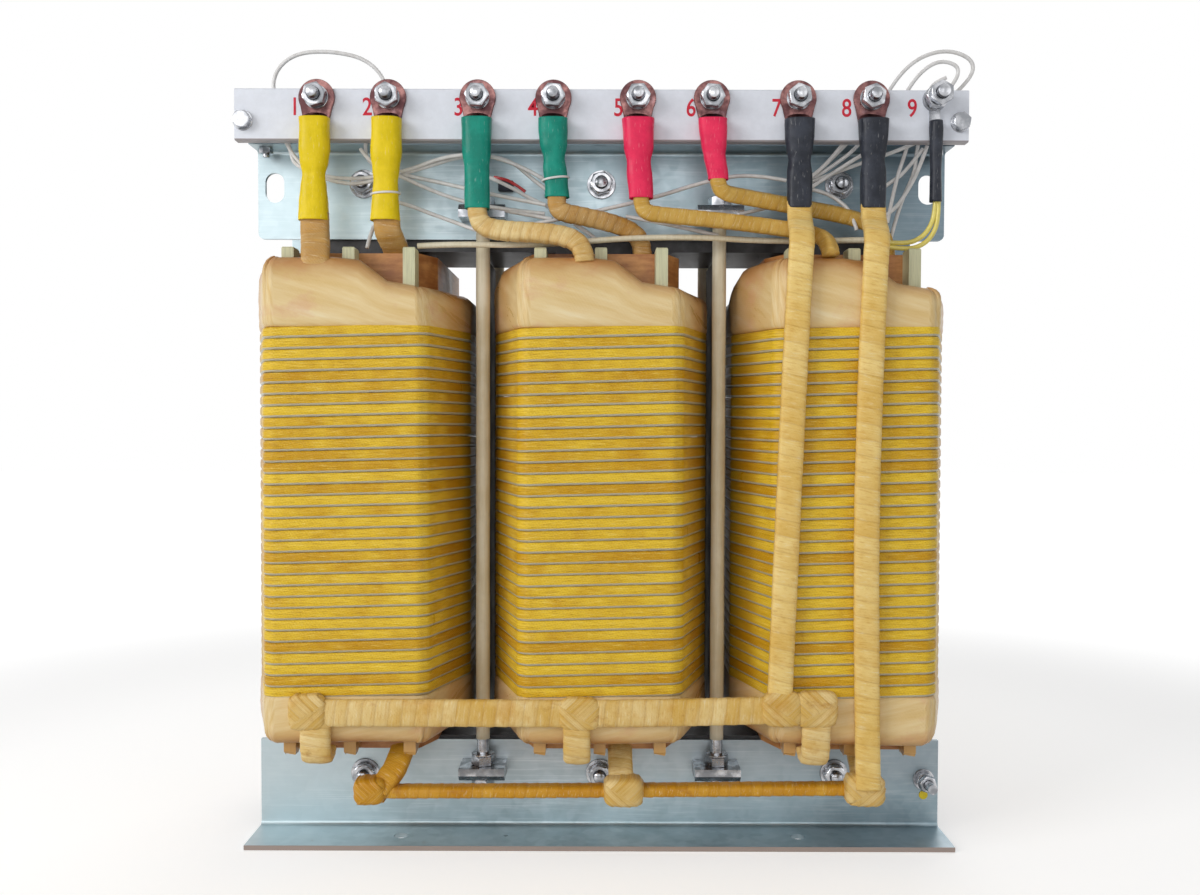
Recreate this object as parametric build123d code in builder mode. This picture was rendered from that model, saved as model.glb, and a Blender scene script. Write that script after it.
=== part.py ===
from build123d import *
import math
import os

os.makedirs("parts", exist_ok=True)

# Three-phase open dry type transformer, in millimetres.
# X runs along the row of coils, Y from the terminal side to the back, Z up.
# The origin is the centre of the four foot holes, on the floor.

# Core: stacked sheet, three legs and two yokes with mitred joints
leg_pitch = 200.0
leg_width = 78.0
stack_depth = 100.0
window_height = 412.0
core_lift = 2.0

# Clamps: folded sheet angles that squeeze the yokes from both sides
clamp_overhang = 50.0
clamp_sheet = 4.0
clamp_bend = 3.0
lower_clamp_gap = 2.6
foot_reach = 48.8
foot_hole_radius = 6.0
foot_hole_spacing_x = 330.0
foot_hole_reach = 26.0
pilot_hole_radius = 2.0
pilot_hole_x = -78.0
upper_clamp_gap = 9.8
upper_clamp_height = 77.2
upper_flange_reach = 26.0
upper_corner_radius = 5.0
lifting_slot_height = 25.0
lifting_slot_width = 16.0
lifting_slot_end = 14.0
lifting_slot_rise = 43.0

# Yoke bolts
yoke_bolt_radius = 5.0
yoke_bolt_clearance = 0.5
lower_bolt_rise = 47.0
upper_bolt_rise = 46.2
bolt_washer_radius = 12.0
bolt_washer_thickness = 2.5
bolt_tail = 6.0
hex_head_height = 6.4
hex_nut_height = 8.0
hex_across_flats = 17.0

# Tie rods between the clamps, in insulating sleeves
tie_rod_shift = 2.0
tie_rod_radius = 5.0
tie_rod_reach = 15.5
tie_rod_clearance = 0.25
tie_sleeve_wall = 0.7
tie_sleeve_bottom_gap = 14.0
tie_sleeve_top_gap = 4.0
bracket_width = 38.0
bracket_depth = 30.0
bracket_height = 11.0
bracket_toe = 5.0
lower_bracket_drop = 27.4
upper_bracket_rise = 14.0
tie_rod_tail = 5.0

# Coils, from the leg outwards
former_clearance = 0.5
former_wall = 3.0
former_top_gap = 4.0
inner_duct = 20.0
inner_build = 22.0
inner_bottom_gap = 2.0
inner_top_gap = 8.0
inner_corner_x = 11.5
inner_corner_y = 25.5
side_duct = 10.5
front_duct = 19.0
outer_build = 14.5
outer_side_flat = 48.0
turn_count = 33
turn_groove = 0.9
winding_start = 51.7
winding_end = 68.415
lower_band_height = 37.7
upper_band_height = 31.2
band_proud = 0.6
band_round = 3.5
shoulder_rise = 23.0
shoulder_edge_x = 2.0
shoulder_run = 32.0
shoulder_edge_y = 60.0
stick_width = 10.0
stick_spacing = 48.0
inner_stick_spacing = 30.0
stick_bottom_gap = 2.0
stick_top_gap = 5.0

# Terminal board and its brackets
board_overhang = 5.0
board_height = 41.3
board_thickness = 10.0
board_edge = 1.0
board_drop = 5.5
board_standoff = 36.0
board_bolt_end = 7.0
board_bolt_drop = 25.8
board_bolt_radius = 4.0
board_washer_radius = 8.0
board_washer_thickness = 1.6
board_head_across = 13.0
board_head_height = 5.3
board_bolt_tail = 3.0
angle_width = 26.0
angle_sheet = 3.0
angle_height = 18.0
angle_end_gap = 0.5
angle_bolt_inset = 2.5
angle_bolt_reach = 14.0
angle_bolt_radius = 3.0
angle_nut_across = 10.0
angle_nut_height = 5.0
angle_bolt_tail = 2.0

# Terminals, numbered from the left, each set off from one of the three legs
terminal_offsets = ((-27.5, 29.5), (-99.0, -38.5, 29.0, 88.0), (-43.0, 15.5))
earth_end = 28.0
stud_drop = 7.8
stud_radius = 5.0
stud_clearance = 0.25
stud_tail = 10.0
earth_stud_tail = 18.0
lug_ring_radius = 14.25
lug_thickness = 3.0
lug_neck_top = 24.0
lug_neck_bottom = 17.0
sleeve_top_drop = 26.2
sleeve_back_gap = 0.6
sleeve_half_width = 12.2
sleeve_half_depth = 8.6
sleeve_waist = 0.72
sleeve_wall = 1.5
sleeve_lengths = (80.6, 80.6, 71.0, 62.0, 62.5, 47.6, 70.0, 70.0)
earth_sleeve_radius = 5.5
earth_sleeve_length = 64.0
earth_lug_ring_radius = 9.5
earth_lug_width = 8.25

# Taped copper leads, risers and star bars
lead_widths = (22.0, 21.0, 16.0, 15.0, 13.0, 13.0, 19.0, 19.0)
lead_thicknesses = (10.0, 10.0, 13.0, 13.0, 12.0, 12.0, 9.0, 9.0)
lead_edges = (3.0, 3.0, 3.0, 3.0, 3.0, 3.0, 2.0, 2.0)
lead_first_run = 7.0
lead_last_run = 8.0
outer_lead_offsets = (-24.0, -14.0, -20.0)
inner_lead_offset = 34.0
riser_edge = 2.0
riser_gap = 0.6
star_bar_height = 21.0
star_bar_drop = 10.7
knot_width = 32.0
knot_height = 30.0
knot_depth = 13.0
knot_edge = 4.0
upper_knot_offsets = (-29.0, -16.0, -61.0)
upper_tap_offsets = (-22.0, -18.0, -31.0)
upper_tap_width = 24.0
upper_tap_drop = 14.0
lower_bar_reach = 64.0
lower_bar_drop = 39.0
lower_bar_depth = 17.0
lower_bar_thickness = 9.0
lower_knot_offsets = (28.0, 18.0, 11.0)
lower_knot_height = 22.0
lower_knot_reach = 54.0
lower_knot_depth = 32.0
lower_tap_width = 22.0
lower_tap_thickness = 10.0

# Thin wires
sensor_wire_radius = 1.6
shield_wire_radius = 2.3
shield_last_run = 4.6
wire_sides = 6

# Earth stud on the lower clamp, and its round mark
clamp_stud_end = 12.4
clamp_stud_z = 44.0
clamp_stud_radius = 4.0
clamp_shank_radius = 4.5
clamp_stud_length = 28.0
clamp_stud_washer_radius = 9.0
mark_radius = 3.8
mark_thickness = 0.4
mark_drop = 13.4

# Sensor block on the upper clamp
sensor_x = -80.0
sensor_z = 546.0
sensor_width = 13.0
sensor_height = 9.0
sensor_depth = 6.0

# Places worked out from the sizes above
core_half = leg_pitch + leg_width / 2
clamp_length = 2 * (core_half + clamp_overhang)
window_bottom = core_lift + leg_width
window_top = window_bottom + window_height
core_top = window_top + leg_width
half_stack = stack_depth / 2
clamp_face = half_stack + clamp_sheet
foot_hole_y = clamp_face + foot_hole_reach
lower_bolt_z = core_lift + lower_bolt_rise
lower_clamp_height = window_bottom - lower_clamp_gap
lower_bracket_z = lower_clamp_height - lower_bracket_drop
tie_rod_x = leg_pitch / 2 - tie_rod_shift
upper_clamp_bottom = window_top + upper_clamp_gap
upper_clamp_top = upper_clamp_bottom + upper_clamp_height
upper_bolt_z = upper_clamp_bottom + upper_bolt_rise
leg_centres = (-leg_pitch, 0.0, leg_pitch)
sides = ("left", "middle", "right")

former_half_x = leg_width / 2 + former_clearance + former_wall
former_half_y = half_stack + former_clearance + former_wall
former_top = window_top - former_top_gap
inner_half_x = former_half_x + inner_build
inner_half_y = former_half_y + inner_duct + inner_build
inner_bottom = window_bottom + inner_bottom_gap
inner_top = window_top - inner_top_gap
stick_half_span = stick_spacing + stick_width / 2
outer_inside_x = inner_half_x + side_duct
outer_inside_y = inner_half_y + front_duct
outer_half_x = outer_inside_x + outer_build
outer_half_y = outer_inside_y + outer_build
winding_bottom = window_bottom + winding_start
winding_top = window_top - winding_end
turn_pitch = (winding_top - winding_bottom) / turn_count
band_bottom = winding_bottom - lower_band_height
band_top = winding_top + upper_band_height
shoulder_top = band_top + shoulder_rise
star_bar_z = winding_bottom - star_bar_drop
upper_tap_z = band_bottom - upper_tap_drop
lower_bar_z = band_bottom - lower_bar_drop
lower_bar_y = -clamp_face - lower_bar_reach
lower_knot_back = clamp_face + lower_knot_reach
upper_knot_x = [leg + offset for leg, offset in zip(leg_centres, upper_knot_offsets)]
upper_tap_x = [leg + offset for leg, offset in zip(leg_centres, upper_tap_offsets)]
lower_knot_x = [leg + offset for leg, offset in zip(leg_centres, lower_knot_offsets)]

board_length = clamp_length + 2 * board_overhang
board_bolt_x = board_length / 2 - board_bolt_end
angle_x = board_length / 2 - angle_end_gap - angle_width / 2
angle_bolt_x = angle_x - angle_bolt_inset
clamp_stud_x = clamp_length / 2 - clamp_stud_end
terminal_x = [
    leg + offset for leg, offsets in zip(leg_centres, terminal_offsets) for offset in offsets
]
earth_x = board_length / 2 - earth_end
board_back = clamp_face + board_standoff
board_face = board_back + board_thickness
board_bottom = upper_clamp_top - board_drop
board_top = board_bottom + board_height
stud_z = board_top - stud_drop
board_bolt_z = board_top - board_bolt_drop
lug_face = board_face + lug_thickness
sleeve_top = board_top - sleeve_top_drop
sleeve_y = board_face + sleeve_back_gap + sleeve_half_depth
riser_y = outer_half_y + band_proud + riser_gap + lead_thicknesses[-1] / 2


def write(name, *pieces):
    """Write one node. Several pieces stay separate solids in its file."""
    node = pieces[0] if len(pieces) == 1 else Compound(children=list(pieces))
    node.label = name
    export_step(node, f"parts/{name}.step")


def outline(corner_x, corner_y, side_x, side_y):
    """Corner points of a symmetric eight-sided ring outline, anticlockwise."""
    quarter = [(side_x, side_y), (corner_x, corner_y)]
    left = [(-x, y) for x, y in reversed(quarter)]
    upper = quarter + left
    return upper + [(-x, -y) for x, y in upper]


def wound_outline(build):
    """Outline of the outer coil, this far out from its inside wall.

    Turns pulled tight over the outer sticks leave a flat front, a slanted
    flank and a flat side, and each layer rounds the front corner a little.
    """
    run_x = outer_inside_x - stick_half_span
    run_y = outer_inside_y - outer_side_flat
    flank = math.hypot(run_x, run_y)
    normal_x, normal_y = run_y / flank, run_x / flank
    turn = math.atan2(run_y, run_x)
    cut = build * math.tan(turn / 4)
    front = (stick_half_span + cut, outer_inside_y + build)
    shoulder = (
        stick_half_span + build * normal_x - cut * run_x / flank,
        outer_inside_y + build * normal_y + cut * run_y / flank,
    )
    reach = normal_x * stick_half_span + normal_y * outer_inside_y + build
    side_x = outer_inside_x + build
    side = (side_x, (reach - normal_x * side_x) / normal_y)
    quarter = [side, shoulder, front]
    left = [(-x, y) for x, y in reversed(quarter)]
    upper = quarter + left
    return upper + [(-x, -y) for x, y in upper]


duct_wall = outline(stick_half_span, outer_inside_y, outer_inside_x, outer_side_flat)


def arc_radii(points, share=0.45):
    """The largest tangent arc that the runs beside each corner allow."""
    radii = []
    for before, here, after in zip(points, points[1:], points[2:]):
        run_in = Vector(*here) - Vector(*before)
        run_out = Vector(*after) - Vector(*here)
        half_turn = math.radians(run_in.get_angle(run_out)) / 2
        radii.append(share * min(run_in.length, run_out.length) / math.tan(half_turn))
    return radii


# Core
def core_piece(points):
    """One mitred stack of sheets, with the bolt holes that cross it."""
    with BuildPart() as piece:
        with BuildSketch(Plane.XZ):
            with BuildLine():
                Polyline(*points, close=True)
            make_face()
            with Locations(*[(x, z) for x in leg_centres for z in (lower_bolt_z, upper_bolt_z)]):
                Circle(yoke_bolt_radius + yoke_bolt_clearance, mode=Mode.SUBTRACT)
        extrude(amount=half_stack, both=True)
    return piece.part


half_leg = leg_width / 2
inner_edge = leg_pitch - half_leg
outer_leg = [
    (-core_half, core_lift),
    (-inner_edge, window_bottom),
    (-inner_edge, window_top),
    (-core_half, core_top),
]
centre_leg = [
    (0, core_lift + half_leg),
    (half_leg, window_bottom),
    (half_leg, window_top),
    (0, core_top - half_leg),
    (-half_leg, window_top),
    (-half_leg, window_bottom),
]
lower_yoke = [
    (-core_half, core_lift),
    (core_half, core_lift),
    (inner_edge, window_bottom),
    (half_leg, window_bottom),
    (0, core_lift + half_leg),
    (-half_leg, window_bottom),
    (-inner_edge, window_bottom),
]
mid_height = core_lift + core_top
upper_yoke = [(x, mid_height - z) for x, z in lower_yoke]
write(
    "laminated_core",
    core_piece(outer_leg),
    core_piece(centre_leg),
    core_piece([(-x, z) for x, z in outer_leg]),
    core_piece(lower_yoke),
    core_piece(upper_yoke),
)

# Lower clamps: an upright flange on the yoke and a foot on the floor
with BuildPart() as lower_clamp:
    with BuildSketch(Plane.YZ) as angle:
        with BuildLine():
            Polyline(
                (-half_stack, lower_clamp_height),
                (-half_stack, 0),
                (-clamp_face - foot_reach, 0),
                (-clamp_face - foot_reach, clamp_sheet),
                (-clamp_face, clamp_sheet),
                (-clamp_face, lower_clamp_height),
                close=True,
            )
        make_face()
        heel = angle.vertices().sort_by_distance((-half_stack, 0))[0]
        fillet(heel, clamp_bend + clamp_sheet)
        hollow = angle.vertices().sort_by_distance((-clamp_face, clamp_sheet))[0]
        fillet(hollow, clamp_bend)
    extrude(amount=clamp_length / 2, both=True)
    with Locations(
        (-foot_hole_spacing_x / 2, -foot_hole_y),
        (foot_hole_spacing_x / 2, -foot_hole_y),
    ):
        Hole(foot_hole_radius)
    with Locations((pilot_hole_x, -foot_hole_y)):
        Hole(pilot_hole_radius)
    with BuildSketch(Plane.XZ):
        with Locations(*[(x, lower_bolt_z) for x in leg_centres]):
            Circle(yoke_bolt_radius + yoke_bolt_clearance)
    extrude(amount=clamp_face, mode=Mode.SUBTRACT)
with BuildPart() as lower_clamp_front:
    add(lower_clamp.part)
    with BuildSketch(Plane.XZ):
        with Locations((clamp_stud_x, clamp_stud_z)):
            Circle(clamp_shank_radius)
    extrude(amount=clamp_face, mode=Mode.SUBTRACT)
write("lower_clamp_front", lower_clamp_front.part)
with BuildPart() as lower_clamp_rear:
    mirror(lower_clamp.part, about=Plane.XZ)
write("lower_clamp_rear", lower_clamp_rear.part)

# Upper clamps: the same sheet with a flange at the top and lifting slots
slot_z = upper_clamp_bottom + lifting_slot_rise
slot_x = clamp_length / 2 - lifting_slot_end
angle_bolt_y = clamp_face + angle_bolt_reach
with BuildPart() as upper_clamp:
    with BuildSketch(Plane.YZ) as angle:
        with BuildLine():
            Polyline(
                (-half_stack, upper_clamp_bottom),
                (-half_stack, upper_clamp_top),
                (-clamp_face - upper_flange_reach, upper_clamp_top),
                (-clamp_face - upper_flange_reach, upper_clamp_top - clamp_sheet),
                (-clamp_face, upper_clamp_top - clamp_sheet),
                (-clamp_face, upper_clamp_bottom),
                close=True,
            )
        make_face()
        heel = angle.vertices().sort_by_distance((-half_stack, upper_clamp_top))[0]
        fillet(heel, clamp_bend + clamp_sheet)
        hollow = angle.vertices().sort_by_distance((-clamp_face, upper_clamp_top - clamp_sheet))[0]
        fillet(hollow, clamp_bend)
    extrude(amount=clamp_length / 2, both=True)
    fillet(upper_clamp.edges().filter_by(Axis.Y).group_by(Axis.Z)[0], upper_corner_radius)
    with BuildSketch(Plane.XZ):
        with Locations(*[(x, upper_bolt_z) for x in leg_centres]):
            Circle(yoke_bolt_radius + yoke_bolt_clearance)
        with Locations((-slot_x, slot_z), (slot_x, slot_z)):
            SlotOverall(lifting_slot_height, lifting_slot_width, rotation=90)
    extrude(amount=clamp_face, mode=Mode.SUBTRACT)
with BuildPart() as upper_clamp_front:
    add(upper_clamp.part)
    with BuildSketch(Plane.XY.offset(upper_clamp_top)):
        with Locations((-angle_bolt_x, -angle_bolt_y), (angle_bolt_x, -angle_bolt_y)):
            Circle(angle_bolt_radius + stud_clearance)
    extrude(amount=-clamp_sheet, mode=Mode.SUBTRACT)
write("upper_clamp_front", upper_clamp_front.part)
with BuildPart() as upper_clamp_rear:
    mirror(upper_clamp.part, about=Plane.XZ)
write("upper_clamp_rear", upper_clamp_rear.part)

# Yoke bolts pass through both clamps and the yoke between them
bolt_places = [(x, z) for x in leg_centres for z in (lower_bolt_z, upper_bolt_z)]
washer_face = clamp_face + bolt_washer_thickness
nut_face = washer_face + hex_nut_height
with BuildPart() as yoke_bolts:
    with BuildSketch(Plane.XZ.offset(-washer_face)):
        with Locations(*bolt_places):
            Circle(yoke_bolt_radius)
    extrude(amount=washer_face + nut_face + bolt_tail)
    with BuildSketch(Plane.XZ.offset(-washer_face)):
        with Locations(*bolt_places):
            RegularPolygon(hex_across_flats / 2, 6, major_radius=False)
    extrude(amount=-hex_head_height)
write("yoke_bolts", yoke_bolts.part)
with BuildPart() as yoke_washers:
    with BuildSketch(Plane.XZ.offset(clamp_face)):
        with Locations(*bolt_places):
            Circle(bolt_washer_radius)
            Circle(yoke_bolt_radius, mode=Mode.SUBTRACT)
    extrude(amount=bolt_washer_thickness)
    mirror(about=Plane.XZ)
write("yoke_washers", yoke_washers.part)
with BuildPart() as yoke_nuts:
    with BuildSketch(Plane.XZ.offset(washer_face)):
        with Locations(*bolt_places):
            RegularPolygon(hex_across_flats / 2, 6, major_radius=False)
            Circle(yoke_bolt_radius, mode=Mode.SUBTRACT)
    extrude(amount=hex_nut_height)
write("yoke_nuts", yoke_nuts.part)

# Tie rods, two at the front and two at the back
rod_y = clamp_face + tie_rod_reach
rod_places = [(x, y) for x in (-tie_rod_x, tie_rod_x) for y in (-rod_y, rod_y)]
lower_bracket_top = lower_bracket_z + bracket_height
upper_bracket_z = upper_clamp_bottom + upper_bracket_rise
upper_bracket_top = upper_bracket_z + bracket_height
with BuildPart() as tie_brackets:
    for low_z, bolt_up in ((lower_bracket_z, 1), (upper_bracket_z, -1)):
        heel_z = low_z if bolt_up > 0 else low_z + bracket_height
        flat_z = low_z + bracket_height if bolt_up > 0 else low_z
        with BuildSketch(Plane.YZ):
            with BuildLine():
                Polyline(
                    (-clamp_face, heel_z),
                    (-clamp_face - bracket_depth + bracket_toe, heel_z),
                    (-clamp_face - bracket_depth, heel_z + bolt_up * bracket_toe),
                    (-clamp_face - bracket_depth, flat_z),
                    (-clamp_face, flat_z),
                    close=True,
                )
            make_face()
        extrude(amount=bracket_width / 2, both=True)
    with BuildSketch(Plane.XY.offset(lower_bracket_z)):
        with Locations((0, -rod_y)):
            Circle(tie_rod_radius + tie_rod_clearance)
    extrude(amount=upper_bracket_top - lower_bracket_z, mode=Mode.SUBTRACT)
bracket_places = [(x, 0) for x in (-tie_rod_x, tie_rod_x)]
with BuildPart() as tie_rod_brackets:
    with Locations(*bracket_places):
        add(tie_brackets.part)
    mirror(about=Plane.XZ)
write("tie_rod_brackets", tie_rod_brackets.part)

rod_bottom = lower_bracket_z - hex_nut_height - tie_rod_tail
rod_top = upper_bracket_top + hex_nut_height + tie_rod_tail
with BuildPart() as tie_rods:
    with BuildSketch(Plane.XY.offset(rod_bottom)):
        with Locations(*rod_places):
            Circle(tie_rod_radius)
    extrude(amount=rod_top - rod_bottom)
write("tie_rods", tie_rods.part)
with BuildPart() as tie_rod_nuts:
    for nut_z in (lower_bracket_z - hex_nut_height, lower_bracket_top, upper_bracket_top):
        with BuildSketch(Plane.XY.offset(nut_z)):
            with Locations(*rod_places):
                RegularPolygon(hex_across_flats / 2, 6, major_radius=False)
                Circle(tie_rod_radius, mode=Mode.SUBTRACT)
        extrude(amount=hex_nut_height)
write("tie_rod_nuts", tie_rod_nuts.part)
sleeve_low = lower_bracket_top + hex_nut_height + tie_sleeve_bottom_gap
with BuildPart() as tie_rod_sleeves:
    with BuildSketch(Plane.XY.offset(sleeve_low)):
        with Locations(*rod_places):
            Circle(tie_rod_radius + tie_sleeve_wall)
            Circle(tie_rod_radius, mode=Mode.SUBTRACT)
    extrude(amount=upper_bracket_z - tie_sleeve_top_gap - sleeve_low)
write("tie_rod_sleeves", tie_rod_sleeves.part)


# Coils
def former():
    """Square insulating tube that the inner coil is wound on."""
    with BuildPart() as tube:
        with BuildSketch(Plane.XY.offset(window_bottom)):
            Rectangle(2 * former_half_x, 2 * former_half_y)
            Rectangle(
                2 * (former_half_x - former_wall),
                2 * (former_half_y - former_wall),
                mode=Mode.SUBTRACT,
            )
        extrude(amount=former_top - window_bottom)
    return tube.part


def inner_winding():
    """Inner coil, held off the former by sticks at its front and back."""
    corner = (stick_half_span, inner_half_y)
    flank = (inner_half_x, inner_half_y - inner_corner_y)
    with BuildPart() as coil:
        with BuildSketch(Plane.XY.offset(inner_bottom)):
            with BuildLine():
                Polyline(*outline(*corner, *flank), close=True)
            make_face()
            Rectangle(
                2 * former_half_x,
                2 * (former_half_y + inner_duct),
                mode=Mode.SUBTRACT,
            )
        extrude(amount=inner_top - inner_bottom)
    return coil.part


def outer_winding():
    """Outer coil: every turn stands out in a ridge from its neighbours."""
    with BuildPart() as coil:
        for step in range(2 * turn_count + 1):
            build = outer_build if step % 2 else outer_build - turn_groove
            with BuildSketch(Plane.XY.offset(winding_bottom + step * turn_pitch / 2)):
                with BuildLine():
                    Polyline(*wound_outline(build), close=True)
                make_face()
        loft(ruled=True)
        with BuildSketch(Plane.XY.offset(winding_bottom)):
            with BuildLine():
                Polyline(*duct_wall, close=True)
            make_face()
        extrude(amount=winding_top - winding_bottom, mode=Mode.SUBTRACT)
    return coil.part


def end_band(low_z, high_z, edge_z):
    """Tape-wrapped end collar of the outer coil, rounded at edge_z."""
    with BuildPart() as band:
        with BuildSketch(Plane.XY.offset(low_z)):
            with BuildLine():
                Polyline(*wound_outline(outer_build + band_proud), close=True)
            make_face()
        extrude(amount=high_z - low_z)
        rim = band.edges().filter_by(Plane.XY).filter_by(lambda e: abs(e.center().Z - edge_z) < 1)
        chamfer(rim, band_round)
        with BuildSketch(Plane.XY.offset(low_z)):
            with BuildLine():
                Polyline(*duct_wall, close=True)
            make_face()
        extrude(amount=high_z - low_z, mode=Mode.SUBTRACT)
    return band.part


def upper_band():
    """Top collar, built up at the front left where the coil's lead leaves."""
    reach = outer_half_x + band_proud + 1
    depth = outer_half_y + band_proud + 1
    with BuildPart() as band:
        add(end_band(winding_top, shoulder_top, shoulder_top))
        with BuildSketch(Plane.XZ):
            with BuildLine():
                Polyline(
                    (shoulder_edge_x, shoulder_top),
                    (shoulder_edge_x + shoulder_run, band_top),
                    (reach, band_top),
                    (reach, shoulder_top + 1),
                    (shoulder_edge_x, shoulder_top + 1),
                    close=True,
                )
            make_face()
        extrude(amount=depth, both=True, mode=Mode.SUBTRACT)
        with BuildSketch(Plane.YZ):
            with BuildLine():
                Polyline(
                    (-shoulder_edge_y, shoulder_top),
                    (-shoulder_edge_y + shoulder_run, band_top),
                    (depth, band_top),
                    (depth, shoulder_top + 1),
                    (-shoulder_edge_y, shoulder_top + 1),
                    close=True,
                )
            make_face()
        extrude(amount=reach, both=True, mode=Mode.SUBTRACT)
    return band.part


def duct_sticks():
    """Square sticks that hold the cooling ducts open, front and back."""
    low = window_bottom + stick_bottom_gap
    with BuildPart() as sticks:
        for spacing, start_y, duct in (
            (stick_spacing, inner_half_y, front_duct),
            (inner_stick_spacing, former_half_y, inner_duct),
        ):
            with BuildSketch(Plane.XY.offset(low)):
                with Locations(*[(x, start_y + duct / 2) for x in (-spacing, 0, spacing)]):
                    Rectangle(stick_width, duct)
            extrude(amount=window_top - stick_top_gap - low)
        mirror(about=Plane.XZ)
    return sticks.part


coil_parts = {
    "coil_former": [former()],
    "inner_winding": [inner_winding()],
    "outer_winding": [outer_winding()],
    "end_bands": [end_band(band_bottom, winding_bottom, band_bottom), upper_band()],
    "duct_sticks": duct_sticks().solids(),
}
for side, centre in zip(sides, leg_centres):
    for kind, pieces in coil_parts.items():
        write(f"{kind}_{side}", *[Pos(centre, 0, 0) * piece for piece in pieces])

# Terminal board on two angles that are bolted to the upper flange
with BuildPart() as board:
    with BuildSketch(Plane.XZ.offset(board_back)):
        with Locations((0, (board_bottom + board_top) / 2)):
            Rectangle(board_length, board_height)
    extrude(amount=board_thickness)
    chamfer(board.edges().filter_by(Axis.X).group_by(Axis.Y)[0], board_edge)
    with BuildSketch(Plane.XZ.offset(board_back)):
        with Locations(*[(x, stud_z) for x in (*terminal_x, earth_x)]):
            Circle(stud_radius + stud_clearance)
        with Locations((-board_bolt_x, board_bolt_z), (board_bolt_x, board_bolt_z)):
            Circle(board_bolt_radius + stud_clearance)
    extrude(amount=board_thickness, mode=Mode.SUBTRACT)
write("terminal_board", board.part)

with BuildPart() as board_angles:
    with BuildSketch(Plane.YZ):
        with BuildLine():
            Polyline(
                (-board_back, upper_clamp_top),
                (-board_back, upper_clamp_top + angle_height),
                (-board_back + angle_sheet, upper_clamp_top + angle_height),
                (-board_back + angle_sheet, upper_clamp_top + angle_sheet),
                (-half_stack - clamp_bend, upper_clamp_top + angle_sheet),
                (-half_stack - clamp_bend, upper_clamp_top),
                close=True,
            )
        make_face()
    extrude(amount=angle_width / 2, both=True)
with BuildPart() as board_brackets:
    with Locations((-angle_x, 0), (angle_x, 0)):
        add(board_angles.part)
    with BuildSketch(Plane.XY.offset(upper_clamp_top)):
        with Locations((-angle_bolt_x, -angle_bolt_y), (angle_bolt_x, -angle_bolt_y)):
            Circle(angle_bolt_radius + stud_clearance)
    extrude(amount=angle_sheet, mode=Mode.SUBTRACT)
    with BuildSketch(Plane.XZ):
        with Locations((-board_bolt_x, board_bolt_z), (board_bolt_x, board_bolt_z)):
            Circle(board_bolt_radius + stud_clearance)
    extrude(amount=board_back, mode=Mode.SUBTRACT)
write("board_brackets", board_brackets.part)

board_bolt_places = [(-board_bolt_x, board_bolt_z), (board_bolt_x, board_bolt_z)]
bracket_face = board_back - angle_sheet
board_washer_face = board_face + board_washer_thickness
with BuildPart() as board_bolts:
    with BuildSketch(Plane.XZ.offset(board_washer_face)):
        with Locations(*board_bolt_places):
            RegularPolygon(board_head_across / 2, 6, major_radius=False)
    extrude(amount=board_head_height)
    with BuildSketch(Plane.XZ.offset(board_washer_face)):
        with Locations(*board_bolt_places):
            Circle(board_bolt_radius)
    extrude(amount=-(board_washer_face - bracket_face + board_head_height + board_bolt_tail))
    with BuildSketch(Plane.XY.offset(upper_clamp_top + angle_sheet)):
        with Locations((-angle_bolt_x, -angle_bolt_y), (angle_bolt_x, -angle_bolt_y)):
            RegularPolygon(angle_nut_across / 2, 6, major_radius=False)
    extrude(amount=angle_nut_height)
    with BuildSketch(Plane.XY.offset(upper_clamp_top + angle_sheet)):
        with Locations((-angle_bolt_x, -angle_bolt_y), (angle_bolt_x, -angle_bolt_y)):
            Circle(angle_bolt_radius)
    extrude(amount=-(angle_sheet + clamp_sheet + angle_nut_height + angle_bolt_tail))
write("board_bolts", board_bolts.part)
with BuildPart() as board_nuts:
    with BuildSketch(Plane.XZ.offset(bracket_face)):
        with Locations(*board_bolt_places):
            RegularPolygon(board_head_across / 2, 6, major_radius=False)
            Circle(board_bolt_radius, mode=Mode.SUBTRACT)
    extrude(amount=-board_head_height)
    with BuildSketch(Plane.XY.offset(upper_clamp_top - clamp_sheet)):
        with Locations((-angle_bolt_x, -angle_bolt_y), (angle_bolt_x, -angle_bolt_y)):
            RegularPolygon(angle_nut_across / 2, 6, major_radius=False)
            Circle(angle_bolt_radius, mode=Mode.SUBTRACT)
    extrude(amount=-angle_nut_height)
    with BuildSketch(Plane.XZ.offset(board_face)):
        with Locations(*board_bolt_places):
            Circle(board_washer_radius)
            Circle(board_bolt_radius, mode=Mode.SUBTRACT)
    extrude(amount=board_washer_thickness)
write("board_nuts", board_nuts.part)

# Terminal bolts and nuts
nut_seat = lug_face
nut_front = nut_seat + hex_nut_height
with BuildPart() as terminal_bolts:
    for places, tail in (([(x, stud_z) for x in terminal_x], stud_tail), ([(earth_x, stud_z)], earth_stud_tail)):
        with BuildSketch(Plane.XZ.offset(board_back)):
            with Locations(*places):
                Circle(stud_radius)
        extrude(amount=nut_front + tail - board_back)
        with BuildSketch(Plane.XZ.offset(board_back)):
            with Locations(*places):
                RegularPolygon(hex_across_flats / 2, 6, major_radius=False)
        extrude(amount=-hex_head_height)
write("terminal_bolts", terminal_bolts.part)
with BuildPart() as terminal_nuts:
    with BuildSketch(Plane.XZ.offset(nut_seat)):
        with Locations(*[(x, stud_z) for x in (*terminal_x, earth_x)]):
            RegularPolygon(hex_across_flats / 2, 6, major_radius=False)
            Circle(stud_radius, mode=Mode.SUBTRACT)
    extrude(amount=hex_nut_height)
write("terminal_nuts", terminal_nuts.part)

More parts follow.
